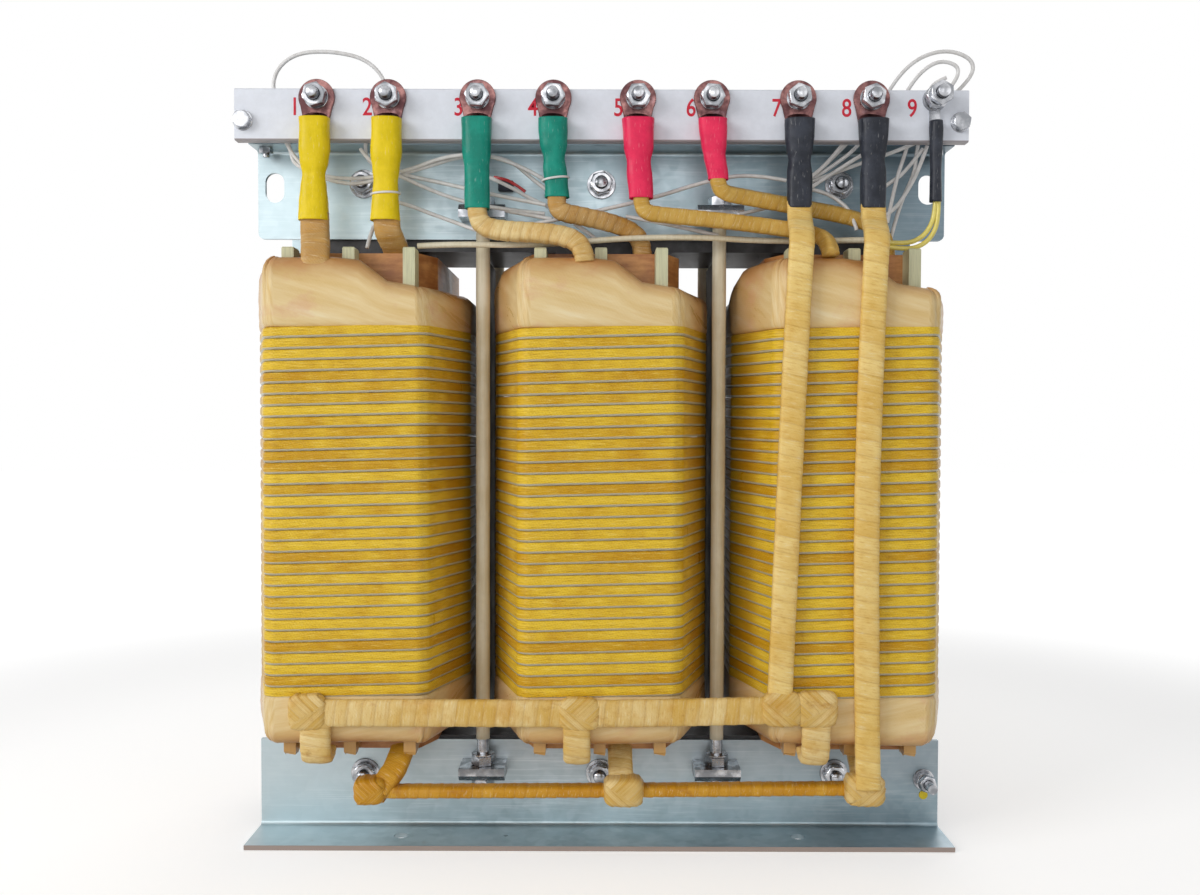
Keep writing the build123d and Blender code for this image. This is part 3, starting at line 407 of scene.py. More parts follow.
# ---------------------------------------------------------------------------
# Shader helpers
# ---------------------------------------------------------------------------
class Nodes:
    """Short calls for laying out one node tree."""

    def __init__(self, tree: bpy.types.NodeTree) -> None:
        """Start on an empty tree."""
        self.tree = tree
        tree.nodes.clear()

    def add(self, kind: str, **values: object) -> Node:
        """Add a node.

        Args:
            kind: The node's type name.
            values: Properties of the node, such as operation.

        Returns:
            The node.
        """
        node = self.tree.nodes.new(kind)
        for key, value in values.items():
            setattr(node, key, value)
        return node

    def wire(self, source: object, target: Socket) -> None:
        """Link a socket, or write a plain value, into a target socket."""
        if isinstance(source, Socket):
            self.tree.links.new(source, target)
        elif source is not None:
            target.default_value = source

    def math(self, operation: str, first: object, second: object = None) -> Socket:
        """One Math node.

        Args:
            operation: Its operation.
            first: A socket or a number.
            second: A socket or a number.

        Returns:
            Its value socket.
        """
        node = self.add("ShaderNodeMath", operation=operation)
        for socket, source in zip(node.inputs, (first, second)):
            self.wire(source, socket)
        return node.outputs[0]

    def times(self, first: object, second: object) -> Socket:
        """Product of two numbers."""
        return self.math("MULTIPLY", first, second)

    def plus(self, first: object, second: object) -> Socket:
        """Sum of two numbers."""
        return self.math("ADD", first, second)

    def minus(self, first: object, second: object) -> Socket:
        """The first number less the second."""
        return self.math("SUBTRACT", first, second)

    def noise(self, place: object, scale: float, detail: float = 3.0, rough: float = 0.55) -> Socket:
        """Noise value at a place.

        Args:
            place: A vector socket.
            scale: Waves per unit.
            detail: Octaves.
            rough: How strong the fine octaves are.

        Returns:
            The noise factor.
        """
        node = self.add("ShaderNodeTexNoise")
        self.wire(place, node.inputs["Vector"])
        node.inputs["Scale"].default_value = scale
        node.inputs["Detail"].default_value = detail
        node.inputs["Roughness"].default_value = rough
        return node.outputs["Fac"]

    def stretch(self, place: object, scale: Point, turn: Point = (0.0, 0.0, 0.0)) -> Socket:
        """Scale and turn a place.

        Args:
            place: A vector socket.
            scale: Its scale along each axis.
            turn: Its rotation in degrees.

        Returns:
            The mapped vector.
        """
        node = self.add("ShaderNodeMapping")
        self.wire(place, node.inputs["Vector"])
        node.inputs["Scale"].default_value = scale
        node.inputs["Rotation"].default_value = [math.radians(a) for a in turn]
        return node.outputs[0]

    def span(self, value: object, low: float, high: float, start: float = 0.0, end: float = 1.0) -> Socket:
        """Map a value from one range to another, clamped.

        Args:
            value: A socket.
            low: Start of its range.
            high: End of its range.
            start: Result at the low end.
            end: Result at the high end.

        Returns:
            The mapped value.
        """
        node = self.add("ShaderNodeMapRange", interpolation_type="SMOOTHSTEP")
        self.wire(value, node.inputs["Value"])
        for name, number in (("From Min", low), ("From Max", high), ("To Min", start), ("To Max", end)):
            node.inputs[name].default_value = number
        return node.outputs[0]

    def blend(self, share: object, first: object, second: object, mode: str = "MIX") -> Socket:
        """Mix two colours.

        Args:
            share: How much of the second shows.
            first: A socket or a colour.
            second: A socket or a colour.
            mode: The blend mode.

        Returns:
            The colour socket.
        """
        node = self.add("ShaderNodeMix", data_type="RGBA", blend_type=mode)
        sockets = [s for s in node.inputs if s.type == "RGBA"]
        self.wire(share, node.inputs[0])
        for socket, source in zip(sockets, (first, second)):
            self.wire((*source, 1.0) if isinstance(source, tuple) and len(source) == 3 else source, socket)
        return [s for s in node.outputs if s.type == "RGBA"][0]

    def over(self, base: object, colour: object, mask: object, amount: float) -> Socket:
        """Lay a colour over another, as strong as a mask times an amount."""
        return self.blend(self.times(mask, amount), base, colour)

    def parts(self, place: object) -> tuple[Socket, ...]:
        """Split a vector into its three numbers."""
        node = self.add("ShaderNodeSeparateXYZ")
        self.wire(place, node.inputs[0])
        return tuple(node.outputs)

    def vector(self, x: object, y: object, z: object) -> Socket:
        """Make a vector of three numbers."""
        node = self.add("ShaderNodeCombineXYZ")
        for source, socket in zip((x, y, z), node.inputs):
            self.wire(source, socket)
        return node.outputs[0]

    def use(self, group: bpy.types.NodeTree, **inputs: object) -> dict[str, Socket]:
        """Place a shared group.

        Args:
            group: The node group.
            inputs: Its inputs by name, with _ for a space.

        Returns:
            Its outputs by name.
        """
        node = self.add("ShaderNodeGroup", node_tree=group)
        for name, source in inputs.items():
            self.wire(source, node.inputs[name.replace("_", " ")])
        return {s.name: s for s in node.outputs}


class SharedEffects:
    """Node groups that more than one finish uses."""

    def __init__(self) -> None:
        """Build each group once."""
        self.stain = self._stain()
        self.wrap = self._wrap()
        self.fibre = self._fibre()

    @staticmethod
    def _tree(
        name: str, inputs: dict[str, float | None], outputs: Sequence[str]
    ) -> tuple[Nodes, dict, dict]:
        """Start a group with named sockets.

        Args:
            name: The group's name.
            inputs: Each input's starting number, or None for a vector.
            outputs: The outputs' names. Each one is a number.

        Returns:
            The group's helper, its input sockets and its output sockets.
        """
        tree = bpy.data.node_groups.new(name, "ShaderNodeTree")
        for label, number in inputs.items():
            kind = "NodeSocketVector" if number is None else "NodeSocketFloat"
            socket = tree.interface.new_socket(label, in_out="INPUT", socket_type=kind)
            if number is not None:
                socket.default_value = number
        for label in outputs:
            tree.interface.new_socket(label, in_out="OUTPUT", socket_type="NodeSocketFloat")
        nodes = Nodes(tree)
        entry, leave = nodes.add("NodeGroupInput"), nodes.add("NodeGroupOutput")
        return nodes, {s.name: s for s in entry.outputs}, {s.name: s for s in leave.inputs}

    def _stain(self) -> bpy.types.NodeTree:
        """Soft blotches with a fine edge, as varnish leaves where it pools."""
        inputs = {"Place": None, "Size": 20.0, "Amount": 0.5}
        nodes, given, out = self._tree("varnish stain", inputs, ["Mask"])
        scaled = nodes.add("ShaderNodeVectorMath", operation="SCALE")
        nodes.wire(given["Place"], scaled.inputs[0])
        nodes.wire(given["Size"], scaled.inputs["Scale"])
        blotch = nodes.noise(scaled.outputs[0], 1.0, 6.0, 0.62)
        edge = nodes.minus(0.78, nodes.times(given["Amount"], 0.45))
        over = nodes.minus(blotch, edge)
        clamp = nodes.add("ShaderNodeClamp")
        nodes.wire(nodes.times(over, 9.0), clamp.inputs["Value"])
        nodes.wire(clamp.outputs[0], out["Mask"])
        return nodes.tree

    def _wrap(self) -> bpy.types.NodeTree:
        """Tape wound with an overlap: a tone for each turn, its edge and its step."""
        inputs = {"Wraps": 0.0, "Seed": 0.0, "Edge": 0.1}
        nodes, given, out = self._tree("tape wrap", inputs, ["Tone", "Seam", "Step"])
        whole = nodes.math("FLOOR", given["Wraps"])
        part = nodes.math("FRACT", given["Wraps"])
        chance = nodes.add("ShaderNodeTexWhiteNoise", noise_dimensions="2D")
        nodes.wire(nodes.vector(whole, given["Seed"], 0.0), chance.inputs["Vector"])
        nodes.wire(chance.outputs["Value"], out["Tone"])
        seam = nodes.minus(1.0, nodes.math("DIVIDE", part, given["Edge"]))
        clamp = nodes.add("ShaderNodeClamp")
        nodes.wire(seam, clamp.inputs["Value"])
        nodes.wire(clamp.outputs[0], out["Seam"])
        nodes.wire(part, out["Step"])
        return nodes.tree

    def _fibre(self) -> bpy.types.NodeTree:
        """Fine crossing threads of woven tape, with a broken sparkle."""
        inputs = {"Place": None, "Pitch": 900.0}
        nodes, given, out = self._tree("tape fibre", inputs, ["Threads", "Sparkle"])
        scaled = nodes.add("ShaderNodeVectorMath", operation="SCALE")
        nodes.wire(given["Place"], scaled.inputs[0])
        nodes.wire(given["Pitch"], scaled.inputs["Scale"])
        x, y, z = nodes.parts(scaled.outputs[0])
        run = nodes.plus(x, y)
        warp = nodes.math("SINE", nodes.plus(run, nodes.times(z, 0.7)))
        weft = nodes.math("SINE", nodes.minus(nodes.times(z, 1.6), nodes.times(run, 0.35)))
        nodes.wire(nodes.times(nodes.plus(warp, weft), 0.5), out["Threads"])
        fleck = nodes.noise(nodes.stretch(scaled.outputs[0], (0.35, 0.35, 1.2)), 0.9, 2.0, 0.7)
        nodes.wire(nodes.span(fleck, 0.52, 0.72), out["Sparkle"])
        return nodes.tree


class Surface(Enum):
    """How a plain finish takes light."""

    SATIN = (0.45, 0.0, 0.5)
    GLOSS = (0.22, 0.0, 0.5)
    WAXY = (0.45, 0.0, 0.22)
    MATT = (0.75, 0.0, 0.3)
    BRIGHT_METAL = (0.24, 1.0, 0.5)
    DULL_METAL = (0.42, 0.75, 0.5)


@dataclass(frozen=True)
class Finish:
    """A finish of the transformer. Each one paints its own node tree."""

    name: str
    colour: Colour
    surface: Surface = Surface.SATIN

    def build(self, effects: SharedEffects) -> Material:
        """Make the material.

        Args:
            effects: The shared node groups.

        Returns:
            The finished material.
        """
        material = bpy.data.materials.new(self.name)
        material.use_nodes = True
        nodes = Nodes(material.node_tree)
        shader = nodes.add("ShaderNodeBsdfPrincipled")
        output = nodes.add("ShaderNodeOutputMaterial")
        nodes.wire(shader.outputs[0], output.inputs["Surface"])
        _, metal, specular = self.surface.value
        shader.inputs["Metallic"].default_value = metal
        shader.inputs["Specular IOR Level"].default_value = specular
        place = nodes.add("ShaderNodeTexCoord").outputs["Object"]
        base, rough, height, depth, strength = self.paint(nodes, place, effects)
        nodes.wire(base, shader.inputs["Base Color"])
        nodes.wire(rough, shader.inputs["Roughness"])
        bump = nodes.add("ShaderNodeBump")
        bump.inputs["Strength"].default_value = strength
        bump.inputs["Distance"].default_value = depth * MM
        nodes.wire(height, bump.inputs["Height"])
        nodes.wire(bump.outputs[0], shader.inputs["Normal"])
        return material

    def paint(self, nodes: Nodes, place: Socket, effects: SharedEffects) -> Painted:
        """Lay out the finish's own nodes.

        Args:
            nodes: The material's helper.
            place: Where the shaded point is on its piece.
            effects: The shared node groups.

        Returns:
            Colour, roughness, height, the bump's depth in millimetres and its strength.
        """
        raise NotImplementedError


@dataclass(frozen=True)
class GalvanisedSheet(Finish):
    """Zinc-coated folded sheet: soft spangle, light scratches and brown cut edges."""

    cut_edge: Colour = (0.33, 0.27, 0.24)

    def paint(self, nodes: Nodes, place: Socket, effects: SharedEffects) -> Painted:
        """Spangle, streaks, scratches, a greyer band low on the upright faces, painted light towards the
        left end, painted shade towards the right end and higher up, and its bare edges.
        """
        x, y, z = nodes.parts(place)
        cloud = nodes.noise(place, 9.0, 5.0, 0.6)
        spangle = nodes.add("ShaderNodeTexVoronoi", feature="SMOOTH_F1")
        nodes.wire(place, spangle.inputs["Vector"])
        spangle.inputs["Scale"].default_value = 130.0
        spangle.inputs["Smoothness"].default_value = 0.4
        flake = nodes.parts(spangle.outputs["Color"])[0]
        streak = nodes.noise(nodes.stretch(place, (26.0, 26.0, 420.0)), 1.0, 3.0, 0.6)
        scratch = nodes.noise(nodes.stretch(place, (9.0, 9.0, 700.0), (0.0, 23.0, 0.0)), 1.0, 2.0, 0.5)
        marks = nodes.span(scratch, 0.66, 0.72)
        bright = tuple(min(1.0, c * 1.28) for c in self.colour)
        dark = tuple(c * 0.74 for c in self.colour)
        base = nodes.blend(nodes.span(cloud, 0.3, 0.72), dark, bright)
        base = nodes.over(base, (0.86, 0.92, 0.97), flake, 0.16)
        base = nodes.over(base, (0.9, 0.95, 0.97), nodes.span(streak, 0.45, 0.75), 0.22)
        base = nodes.over(base, (0.95, 0.97, 0.98), marks, 0.3)
        upright = nodes.times(nodes.span(z, 0.018, 0.06), nodes.span(z, 0.3, 0.2))
        base = nodes.over(base, (0.42, 0.42, 0.43), upright, 0.45)
        # Painted light: the sheet turns paler towards its left end.
        base = nodes.over(base, (0.52, 0.62, 0.65), nodes.span(x, 0.02, -0.3), 0.62)
        # Painted shade: the sheet turns darker towards its right end, more so higher up.
        shaded = nodes.times(nodes.span(x, -0.02, 0.3), nodes.span(z, 0.1, 0.5, 0.45, 0.72))
        base = nodes.blend(shaded, base, (0.1, 0.15, 0.19))
        toe = nodes.span(nodes.math("ABSOLUTE", y), 0.1024, 0.1027)
        base = nodes.blend(toe, base, self.cut_edge)
        rust = nodes.use(effects.stain, Place=place, Size=60.0, Amount=0.25)["Mask"]
        low = nodes.span(z, 0.012, 0.0)
        base = nodes.over(base, (0.42, 0.33, 0.25), nodes.times(rust, low), 0.5)
        rough = nodes.plus(0.3, nodes.times(cloud, 0.22))
        rough = nodes.plus(rough, nodes.times(rust, 0.1))
        rough = nodes.minus(rough, nodes.times(flake, 0.06))
        height = nodes.plus(streak, nodes.times(cloud, 2.0))
        return base, rough, height, 0.12, 0.35


@dataclass(frozen=True)
class CoreVarnish(Finish):
    """Black varnish over a stack of thin sheets."""

    sheet: float = 0.9

    def paint(self, nodes: Nodes, place: Socket, effects: SharedEffects) -> Painted:
        """Sheet lines across the stack, and uneven varnish."""
        y = nodes.parts(place)[1]
        line = nodes.math("SINE", nodes.times(y, 2 * math.pi / (self.sheet * MM)))
        grey = nodes.noise(nodes.stretch(place, (60.0, 900.0, 60.0)), 1.0, 4.0)
        base = nodes.blend(nodes.span(grey, 0.35, 0.8), self.colour, (0.07, 0.07, 0.078))
        dust = nodes.use(effects.stain, Place=place, Size=45.0, Amount=0.35)["Mask"]
        base = nodes.over(base, (0.14, 0.12, 0.1), dust, 0.22)
        rough = nodes.span(grey, 0.2, 0.8, 0.28, 0.55)
        return base, rough, line, 0.25, 0.6


@dataclass(frozen=True)
class ZincHardware(Finish):
    """Bright zinc on bolts and nuts, dulled in patches."""

    tint: Colour = (0.26, 0.27, 0.29)

    def paint(self, nodes: Nodes, place: Socket, effects: SharedEffects) -> Painted:
        """Mottled plating with fine turning marks."""
        patch = nodes.noise(place, 110.0, 3.0, 0.5)
        fine = nodes.noise(place, 1500.0, 2.0)
        base = nodes.blend(nodes.span(patch, 0.35, 0.68), self.tint, self.colour)
        rough = nodes.span(patch, 0.3, 0.75, 0.34, 0.2)
        return base, rough, fine, 0.02, 0.25


@dataclass(frozen=True)
class CoilTape(Finish):
    """Varnished yellow tape on the coil's turns, a different tone on each turn."""

    deep: Colour = (0.36, 0.15, 0.002)
    pale: Colour = (0.86, 0.58, 0.035)
    gleam: Colour = (0.98, 0.78, 0.2)
    varnish: Colour = (0.56, 0.53, 0.4)

    def paint(self, nodes: Nodes, place: Socket, effects: SharedEffects) -> Painted:
        """Tone by turn, long streaks and threads, painted shade on the side faces, and grey varnish in the
        gaps.
        """
        turn = nodes.add("ShaderNodeAttribute", attribute_name="turn").outputs["Fac"]
        edge = nodes.add("ShaderNodeAttribute", attribute_name="gap").outputs["Fac"]
        chance = nodes.add("ShaderNodeTexWhiteNoise", noise_dimensions="1D")
        nodes.wire(turn, chance.inputs["W"])
        tone = chance.outputs["Value"]
        x, y, z = nodes.parts(place)
        run = nodes.plus(x, nodes.times(y, 0.8))
        long_patch = nodes.noise(
            nodes.vector(nodes.times(run, 26.0), nodes.times(turn, 7.3), 0.0), 1.0, 4.0, 0.6
        )
        fibre = nodes.use(effects.fibre, Place=place, Pitch=2300.0)
        light = nodes.plus(nodes.times(tone, 0.5), long_patch)
        base = nodes.blend(nodes.span(light, 0.42, 0.95), self.colour, self.pale)
        streak_place = nodes.vector(nodes.times(run, 60.0), nodes.times(z, 900.0), turn)
        streak = nodes.noise(streak_place, 1.0, 4.0, 0.65)
        base = nodes.over(base, self.deep, nodes.span(streak, 0.48, 0.72), 0.55)
        base = nodes.over(base, self.gleam, nodes.span(streak, 0.46, 0.3), 0.5)
        base = nodes.over(base, self.deep, nodes.span(fibre["Threads"], 0.1, 0.9), 0.2)
        base = nodes.over(base, self.gleam, fibre["Sparkle"], 0.25)
        # Painted shade: the coil's side faces, where |y| is small, are darkened towards the deep colour.
        flank = nodes.span(nodes.math("ABSOLUTE", y), 0.112, 0.08)
        base = nodes.over(base, self.deep, flank, 0.5)
        base = nodes.blend(nodes.span(edge, 0.5, 0.85), base, self.varnish)
        height = nodes.plus(fibre["Threads"], nodes.times(streak, 3.0))
        rough = nodes.span(long_patch, 0.2, 0.8, 0.26, 0.42)
        return base, rough, height, 0.2, 0.6


@dataclass(frozen=True)
class CottonTape(Finish):
    """Translucent varnished tape on leads and bars, wound with an overlap."""

    deep: Colour = (0.42, 0.16, 0.02)
    pale: Colour = (0.88, 0.68, 0.32)
    amber: Colour = (0.62, 0.3, 0.03)
    film: Colour = (0.95, 0.85, 0.58)
    stain: float = 0.35

    def paint(self, nodes: Nodes, place: Socket, effects: SharedEffects) -> Painted:
        """Tone by wrap, seams, threads and pooled varnish."""
        tape = nodes.add("ShaderNodeUVMap", uv_map="Tape").outputs[0]
        wraps, side, _ = nodes.parts(tape)
        wrap = nodes.use(effects.wrap, Wraps=wraps, Seed=3.0, Edge=0.12)
        fibre = nodes.use(effects.fibre, Place=place, Pitch=2600.0)
        cloud = nodes.noise(place, 42.0, 5.0, 0.6)
        light = nodes.plus(nodes.times(wrap["Tone"], 0.3), nodes.times(cloud, 0.8))
        base = nodes.blend(nodes.span(light, 0.3, 0.85), self.colour, self.pale)
        strokes = nodes.noise(
            nodes.vector(nodes.times(wraps, 7.0), nodes.times(side, 5.0), 0.0), 1.0, 4.0, 0.7
        )
        base = nodes.over(base, self.amber, nodes.span(strokes, 0.5, 0.68), 0.5)
        base = nodes.over(base, self.film, nodes.span(strokes, 0.46, 0.3), 0.45)
        base = nodes.over(base, self.amber, nodes.span(wrap["Step"], 0.45, 1.0), 0.15)
        pooled = nodes.use(effects.stain, Place=place, Size=34.0, Amount=self.stain)["Mask"]
        base = nodes.over(base, self.amber, pooled, 0.5)
        burnt = nodes.use(
            effects.stain, Place=nodes.stretch(place, (1.0, 1.0, 1.6)), Size=61.0, Amount=self.stain * 0.7
        )["Mask"]
        base = nodes.over(base, self.deep, burnt, 0.55)
        base = nodes.over(base, self.deep, wrap["Seam"], 0.3)
        wrinkle = nodes.noise(nodes.stretch(place, (120.0, 120.0, 260.0)), 1.0, 4.0, 0.6)
        height = nodes.plus(wrinkle, nodes.times(strokes, 1.6))
        height = nodes.plus(height, nodes.times(fibre["Threads"], 0.3))
        height = nodes.minus(height, nodes.times(wrap["Seam"], 0.6))
        rough = nodes.span(cloud, 0.3, 0.7, 0.28, 0.46)
        return base, rough, height, 0.35, 0.6


@dataclass(frozen=True)
class CollarTape(Finish):
    """Wide cream tape pulled over the coil's ends, pink and brown where varnish ran, with painted shade on
    its side faces.
    """

    deep: Colour = (0.45, 0.18, 0.04)
    pink: Colour = (0.7, 0.34, 0.22)
    pale: Colour = (0.84, 0.66, 0.36)
    film: Colour = (0.93, 0.84, 0.62)

    def paint(self, nodes: Nodes, place: Socket, effects: SharedEffects) -> Painted:
        """Long soft folds, pooled varnish near the rims, pale worn faces, and painted shade on the side
        faces.
        """
        tape = nodes.add("ShaderNodeUVMap", uv_map="Tape").outputs[0]
        around, up, _ = nodes.parts(tape)
        fold = nodes.noise(
            nodes.vector(nodes.times(around, 42.0), nodes.times(up, 1.6), 0.0), 1.0, 4.0, 0.6
        )
        slant = nodes.plus(nodes.times(around, 58.0), nodes.times(up, 4.0))
        wisp = nodes.noise(nodes.vector(slant, nodes.times(up, 1.8), 4.0), 1.0, 5.0, 0.62)
        base = nodes.blend(nodes.span(wisp, 0.32, 0.68), self.colour, self.pale)
        base = nodes.over(base, self.film, nodes.span(wisp, 0.58, 0.8), 0.5)
        y = nodes.parts(place)[1]
        # Painted shade: the collar's side faces, where |y| is small, are darkened towards the deep colour.
        flank = nodes.span(nodes.math("ABSOLUTE", y), 0.12, 0.075)
        base = nodes.over(base, self.deep, flank, 0.45)
        pooled = nodes.use(
            effects.stain, Place=nodes.stretch(place, (1.0, 1.0, 1.5)), Size=21.0, Amount=0.5
        )["Mask"]
        base = nodes.over(base, self.pink, pooled, 0.38)
        rim = nodes.span(up, 0.6, 1.0)
        soaked = nodes.times(rim, nodes.span(fold, 0.3, 0.7, 0.35, 0.9))
        base = nodes.blend(soaked, base, self.deep)
        threads = nodes.use(effects.fibre, Place=place, Pitch=2400.0)["Threads"]
        height = nodes.plus(nodes.times(fold, 5.0), nodes.times(wisp, 2.0))
        height = nodes.plus(height, nodes.times(threads, 0.15))
        rough = nodes.span(wisp, 0.3, 0.7, 0.26, 0.42)
        return base, rough, height, 0.35, 0.55


@dataclass(frozen=True)
class ShrunkSleeve(Finish):
    """Coloured sleeve shrunk over a lug, with small stress lines."""

    light: float = 1.35

    def paint(self, nodes: Nodes, place: Socket, effects: SharedEffects) -> Painted:
        """Slight fading, dust and shallow shrink wrinkles."""
        fade = nodes.noise(place, 70.0, 4.0, 0.6)
        lighter = tuple(min(1.0, c * self.light + 0.01) for c in self.colour)
        base = nodes.blend(nodes.span(fade, 0.35, 0.7), self.colour, lighter)
        scuff = nodes.noise(nodes.stretch(place, (900.0, 900.0, 160.0)), 1.0, 2.0)
        base = nodes.over(base, (0.85, 0.85, 0.85), nodes.span(scuff, 0.62, 0.75), 0.15)
        wrinkle = nodes.noise(nodes.stretch(place, (240.0, 240.0, 60.0)), 1.0, 3.0, 0.6)
        rough = nodes.span(fade, 0.3, 0.7, 0.3, 0.46)
        return base, rough, wrinkle, 0.9, 0.45


@dataclass(frozen=True)
class PaleBoard(Finish):
    """White moulded board with a brownish edge and faint handling marks."""

    edge: Colour = (0.33, 0.29, 0.3)
    bottom: float = 573.5

    def paint(self, nodes: Nodes, place: Socket, effects: SharedEffects) -> Painted:
        """Soft mottling, smudges, and the darker underside."""
        z = nodes.parts(place)[2]
        mottle = nodes.noise(place, 130.0, 5.0, 0.6)
        base = nodes.blend(
            nodes.span(mottle, 0.35, 0.7), self.colour, tuple(min(1.0, c * 1.06) for c in self.colour)
        )
        smudge = nodes.use(effects.stain, Place=place, Size=22.0, Amount=0.3)["Mask"]
        base = nodes.over(base, (0.62, 0.64, 0.7), smudge, 0.12)
        under = nodes.span(z, (self.bottom + 1.6) * MM, (self.bottom + 0.9) * MM)
        base = nodes.over(base, self.edge, under, 0.85)
        rough = nodes.span(mottle, 0.3, 0.7, 0.35, 0.5)
        return base, rough, nodes.noise(place, 700.0, 3.0), 0.06, 0.5


@dataclass(frozen=True)
class TarnishedCopper(Finish):
    """Copper lug with a purple-brown tarnish in soft patches."""

    tarnish: Colour = (0.1, 0.045, 0.048)

    def paint(self, nodes: Nodes, place: Socket, effects: SharedEffects) -> Painted:
        """Heat tints in soft patches."""
        patch = nodes.noise(place, 90.0, 5.0, 0.65)
        base = nodes.blend(nodes.span(patch, 0.38, 0.68), self.tarnish, self.colour)
        spot = nodes.use(effects.stain, Place=place, Size=120.0, Amount=0.4)["Mask"]
        base = nodes.over(base, (0.36, 0.22, 0.24), spot, 0.5)
        rough = nodes.span(patch, 0.3, 0.7, 0.42, 0.24)
        return base, rough, nodes.noise(place, 900.0, 3.0), 0.06, 0.5


@dataclass(frozen=True)
class Mottled(Finish):
    """A plain stuff whose colour wanders between two tones, with a fine grain."""

    other: Colour = (0.5, 0.5, 0.5)
    size: float = 60.0
    grain: Point = (200.0, 200.0, 200.0)
    depth: float = 0.15

    def paint(self, nodes: Nodes, place: Socket, effects: SharedEffects) -> Painted:
        """Two tones in clouds, with grain along its own direction."""
        cloud = nodes.noise(place, self.size, 5.0, 0.6)
        grain = nodes.noise(nodes.stretch(place, self.grain), 1.0, 4.0, 0.6)
        share = nodes.plus(nodes.times(cloud, 0.6), nodes.times(grain, 0.4))
        rough = self.surface.value[0]
        base = nodes.blend(nodes.span(share, 0.36, 0.66), self.colour, self.other)
        rough = nodes.span(cloud, 0.3, 0.7, rough * 0.85, min(1.0, rough * 1.15))
        return base, rough, grain, self.depth, 0.6


@dataclass(frozen=True)
class StickBoard(Finish):
    """Pale green-cream stick whose lower end is soaked with amber varnish."""

    soaked: Colour = (0.55, 0.27, 0.05)

    def paint(self, nodes: Nodes, place: Socket, effects: SharedEffects) -> Painted:
        """Lengthwise grain, and varnish at the foot of the stick."""
        z = nodes.parts(place)[2]
        grain = nodes.noise(nodes.stretch(place, (700.0, 700.0, 40.0)), 1.0, 4.0, 0.6)
        base = nodes.blend(nodes.span(grain, 0.35, 0.7), self.colour, tuple(c * 0.8 for c in self.colour))
        wet = nodes.noise(place, 70.0, 4.0)
        foot = nodes.span(nodes.plus(z, nodes.times(wet, 0.03)), 0.135, 0.105)
        base = nodes.over(base, self.soaked, foot, 0.85)
        rough = nodes.span(foot, 0.0, 1.0, 0.55, 0.3)
        return base, rough, grain, 0.2, 0.6


class Palette:
    """Every finish of the transformer, built once."""

    def __init__(self) -> None:
        """Build the shared effects, then each material."""
        effects = SharedEffects()
        finishes = (
            GalvanisedSheet("galvanised_sheet", (0.34, 0.44, 0.48), Surface.DULL_METAL),
            CoreVarnish("core_varnish", (0.012, 0.012, 0.014), Surface.GLOSS),
            ZincHardware("zinc_hardware", (0.6, 0.61, 0.64), Surface.BRIGHT_METAL),
            CoilTape("coil_tape", (0.62, 0.32, 0.004), Surface.WAXY),
            CottonTape(
                "brown_tape", (0.46, 0.25, 0.075), Surface.WAXY, pale=(0.66, 0.42, 0.16), stain=0.45
            ),
            CottonTape("cream_tape", (0.66, 0.43, 0.15), Surface.WAXY, pale=(0.86, 0.68, 0.34), stain=0.45),
            CottonTape("gold_tape", (0.56, 0.33, 0.06), Surface.WAXY, pale=(0.72, 0.47, 0.12), stain=0.3),
            CottonTape("riser_tape", (0.8, 0.52, 0.13), Surface.WAXY, pale=(0.93, 0.7, 0.27), stain=0.35),
            CottonTape("bar_tape", (0.7, 0.44, 0.1), Surface.WAXY, stain=0.5),
            CottonTape("amber_tape", (0.56, 0.25, 0.006), Surface.WAXY, pale=(0.7, 0.38, 0.04), stain=0.6),
            CollarTape("collar_tape", (0.74, 0.52, 0.22), Surface.WAXY),
            Mottled(
                "inner_coil", (0.34, 0.12, 0.03), Surface.SATIN, other=(0.62, 0.3, 0.1), size=38.0,
                grain=(40.0, 40.0, 260.0),
            ),
            # Painted shade: near-black board between the coils that darkens the gaps.
            Mottled(
                "barrier_board", (0.02, 0.018, 0.016), Surface.MATT, other=(0.035, 0.03, 0.026), size=40.0
            ),
            Mottled("pressboard", (0.3, 0.17, 0.08), Surface.MATT, other=(0.45, 0.28, 0.14), size=50.0),
            StickBoard("duct_stick", (0.66, 0.65, 0.42), Surface.SATIN),
            Mottled(
                "cream_sleeving", (0.66, 0.58, 0.4), Surface.SATIN, other=(0.8, 0.74, 0.58), size=30.0,
                grain=(500.0, 500.0, 30.0),
            ),
            PaleBoard("pale_board", (0.76, 0.79, 0.86), Surface.SATIN),
            TarnishedCopper("tarnished_copper", (0.3, 0.15, 0.14), Surface.BRIGHT_METAL),
            ShrunkSleeve("sleeve_yellow", (0.76, 0.56, 0.0), Surface.WAXY, light=1.12),
            ShrunkSleeve("sleeve_green", (0.0, 0.21, 0.15), Surface.WAXY),
            ShrunkSleeve("sleeve_red", (0.78, 0.02, 0.09), Surface.WAXY, light=1.15),
            ShrunkSleeve("sleeve_black", (0.018, 0.021, 0.03), Surface.WAXY, light=1.8),
            Mottled(
                "white_wire", (0.8, 0.79, 0.78), Surface.GLOSS, other=(0.68, 0.66, 0.64), size=90.0,
                depth=0.04,
            ),
            Mottled(
                "yellow_wire", (0.85, 0.72, 0.16), Surface.GLOSS, other=(0.7, 0.58, 0.12), size=90.0,
                depth=0.04,
            ),
            Mottled(
                "red_wire", (0.6, 0.03, 0.03), Surface.GLOSS, other=(0.45, 0.02, 0.02), size=90.0,
                depth=0.04,
            ),
            Mottled(
                "red_print", (0.62, 0.015, 0.04), Surface.MATT, other=(0.7, 0.05, 0.08), size=300.0,
                depth=0.02,
            ),
            Mottled(
                "yellow_mark", (0.9, 0.7, 0.02), Surface.SATIN, other=(0.8, 0.6, 0.02), size=300.0,
                depth=0.02,
            ),
        )
        self.materials = {finish.name: finish.build(effects) for finish in finishes}

    def __getitem__(self, name: str) -> Material:
        """The material of that name."""
        return self.materials[name]


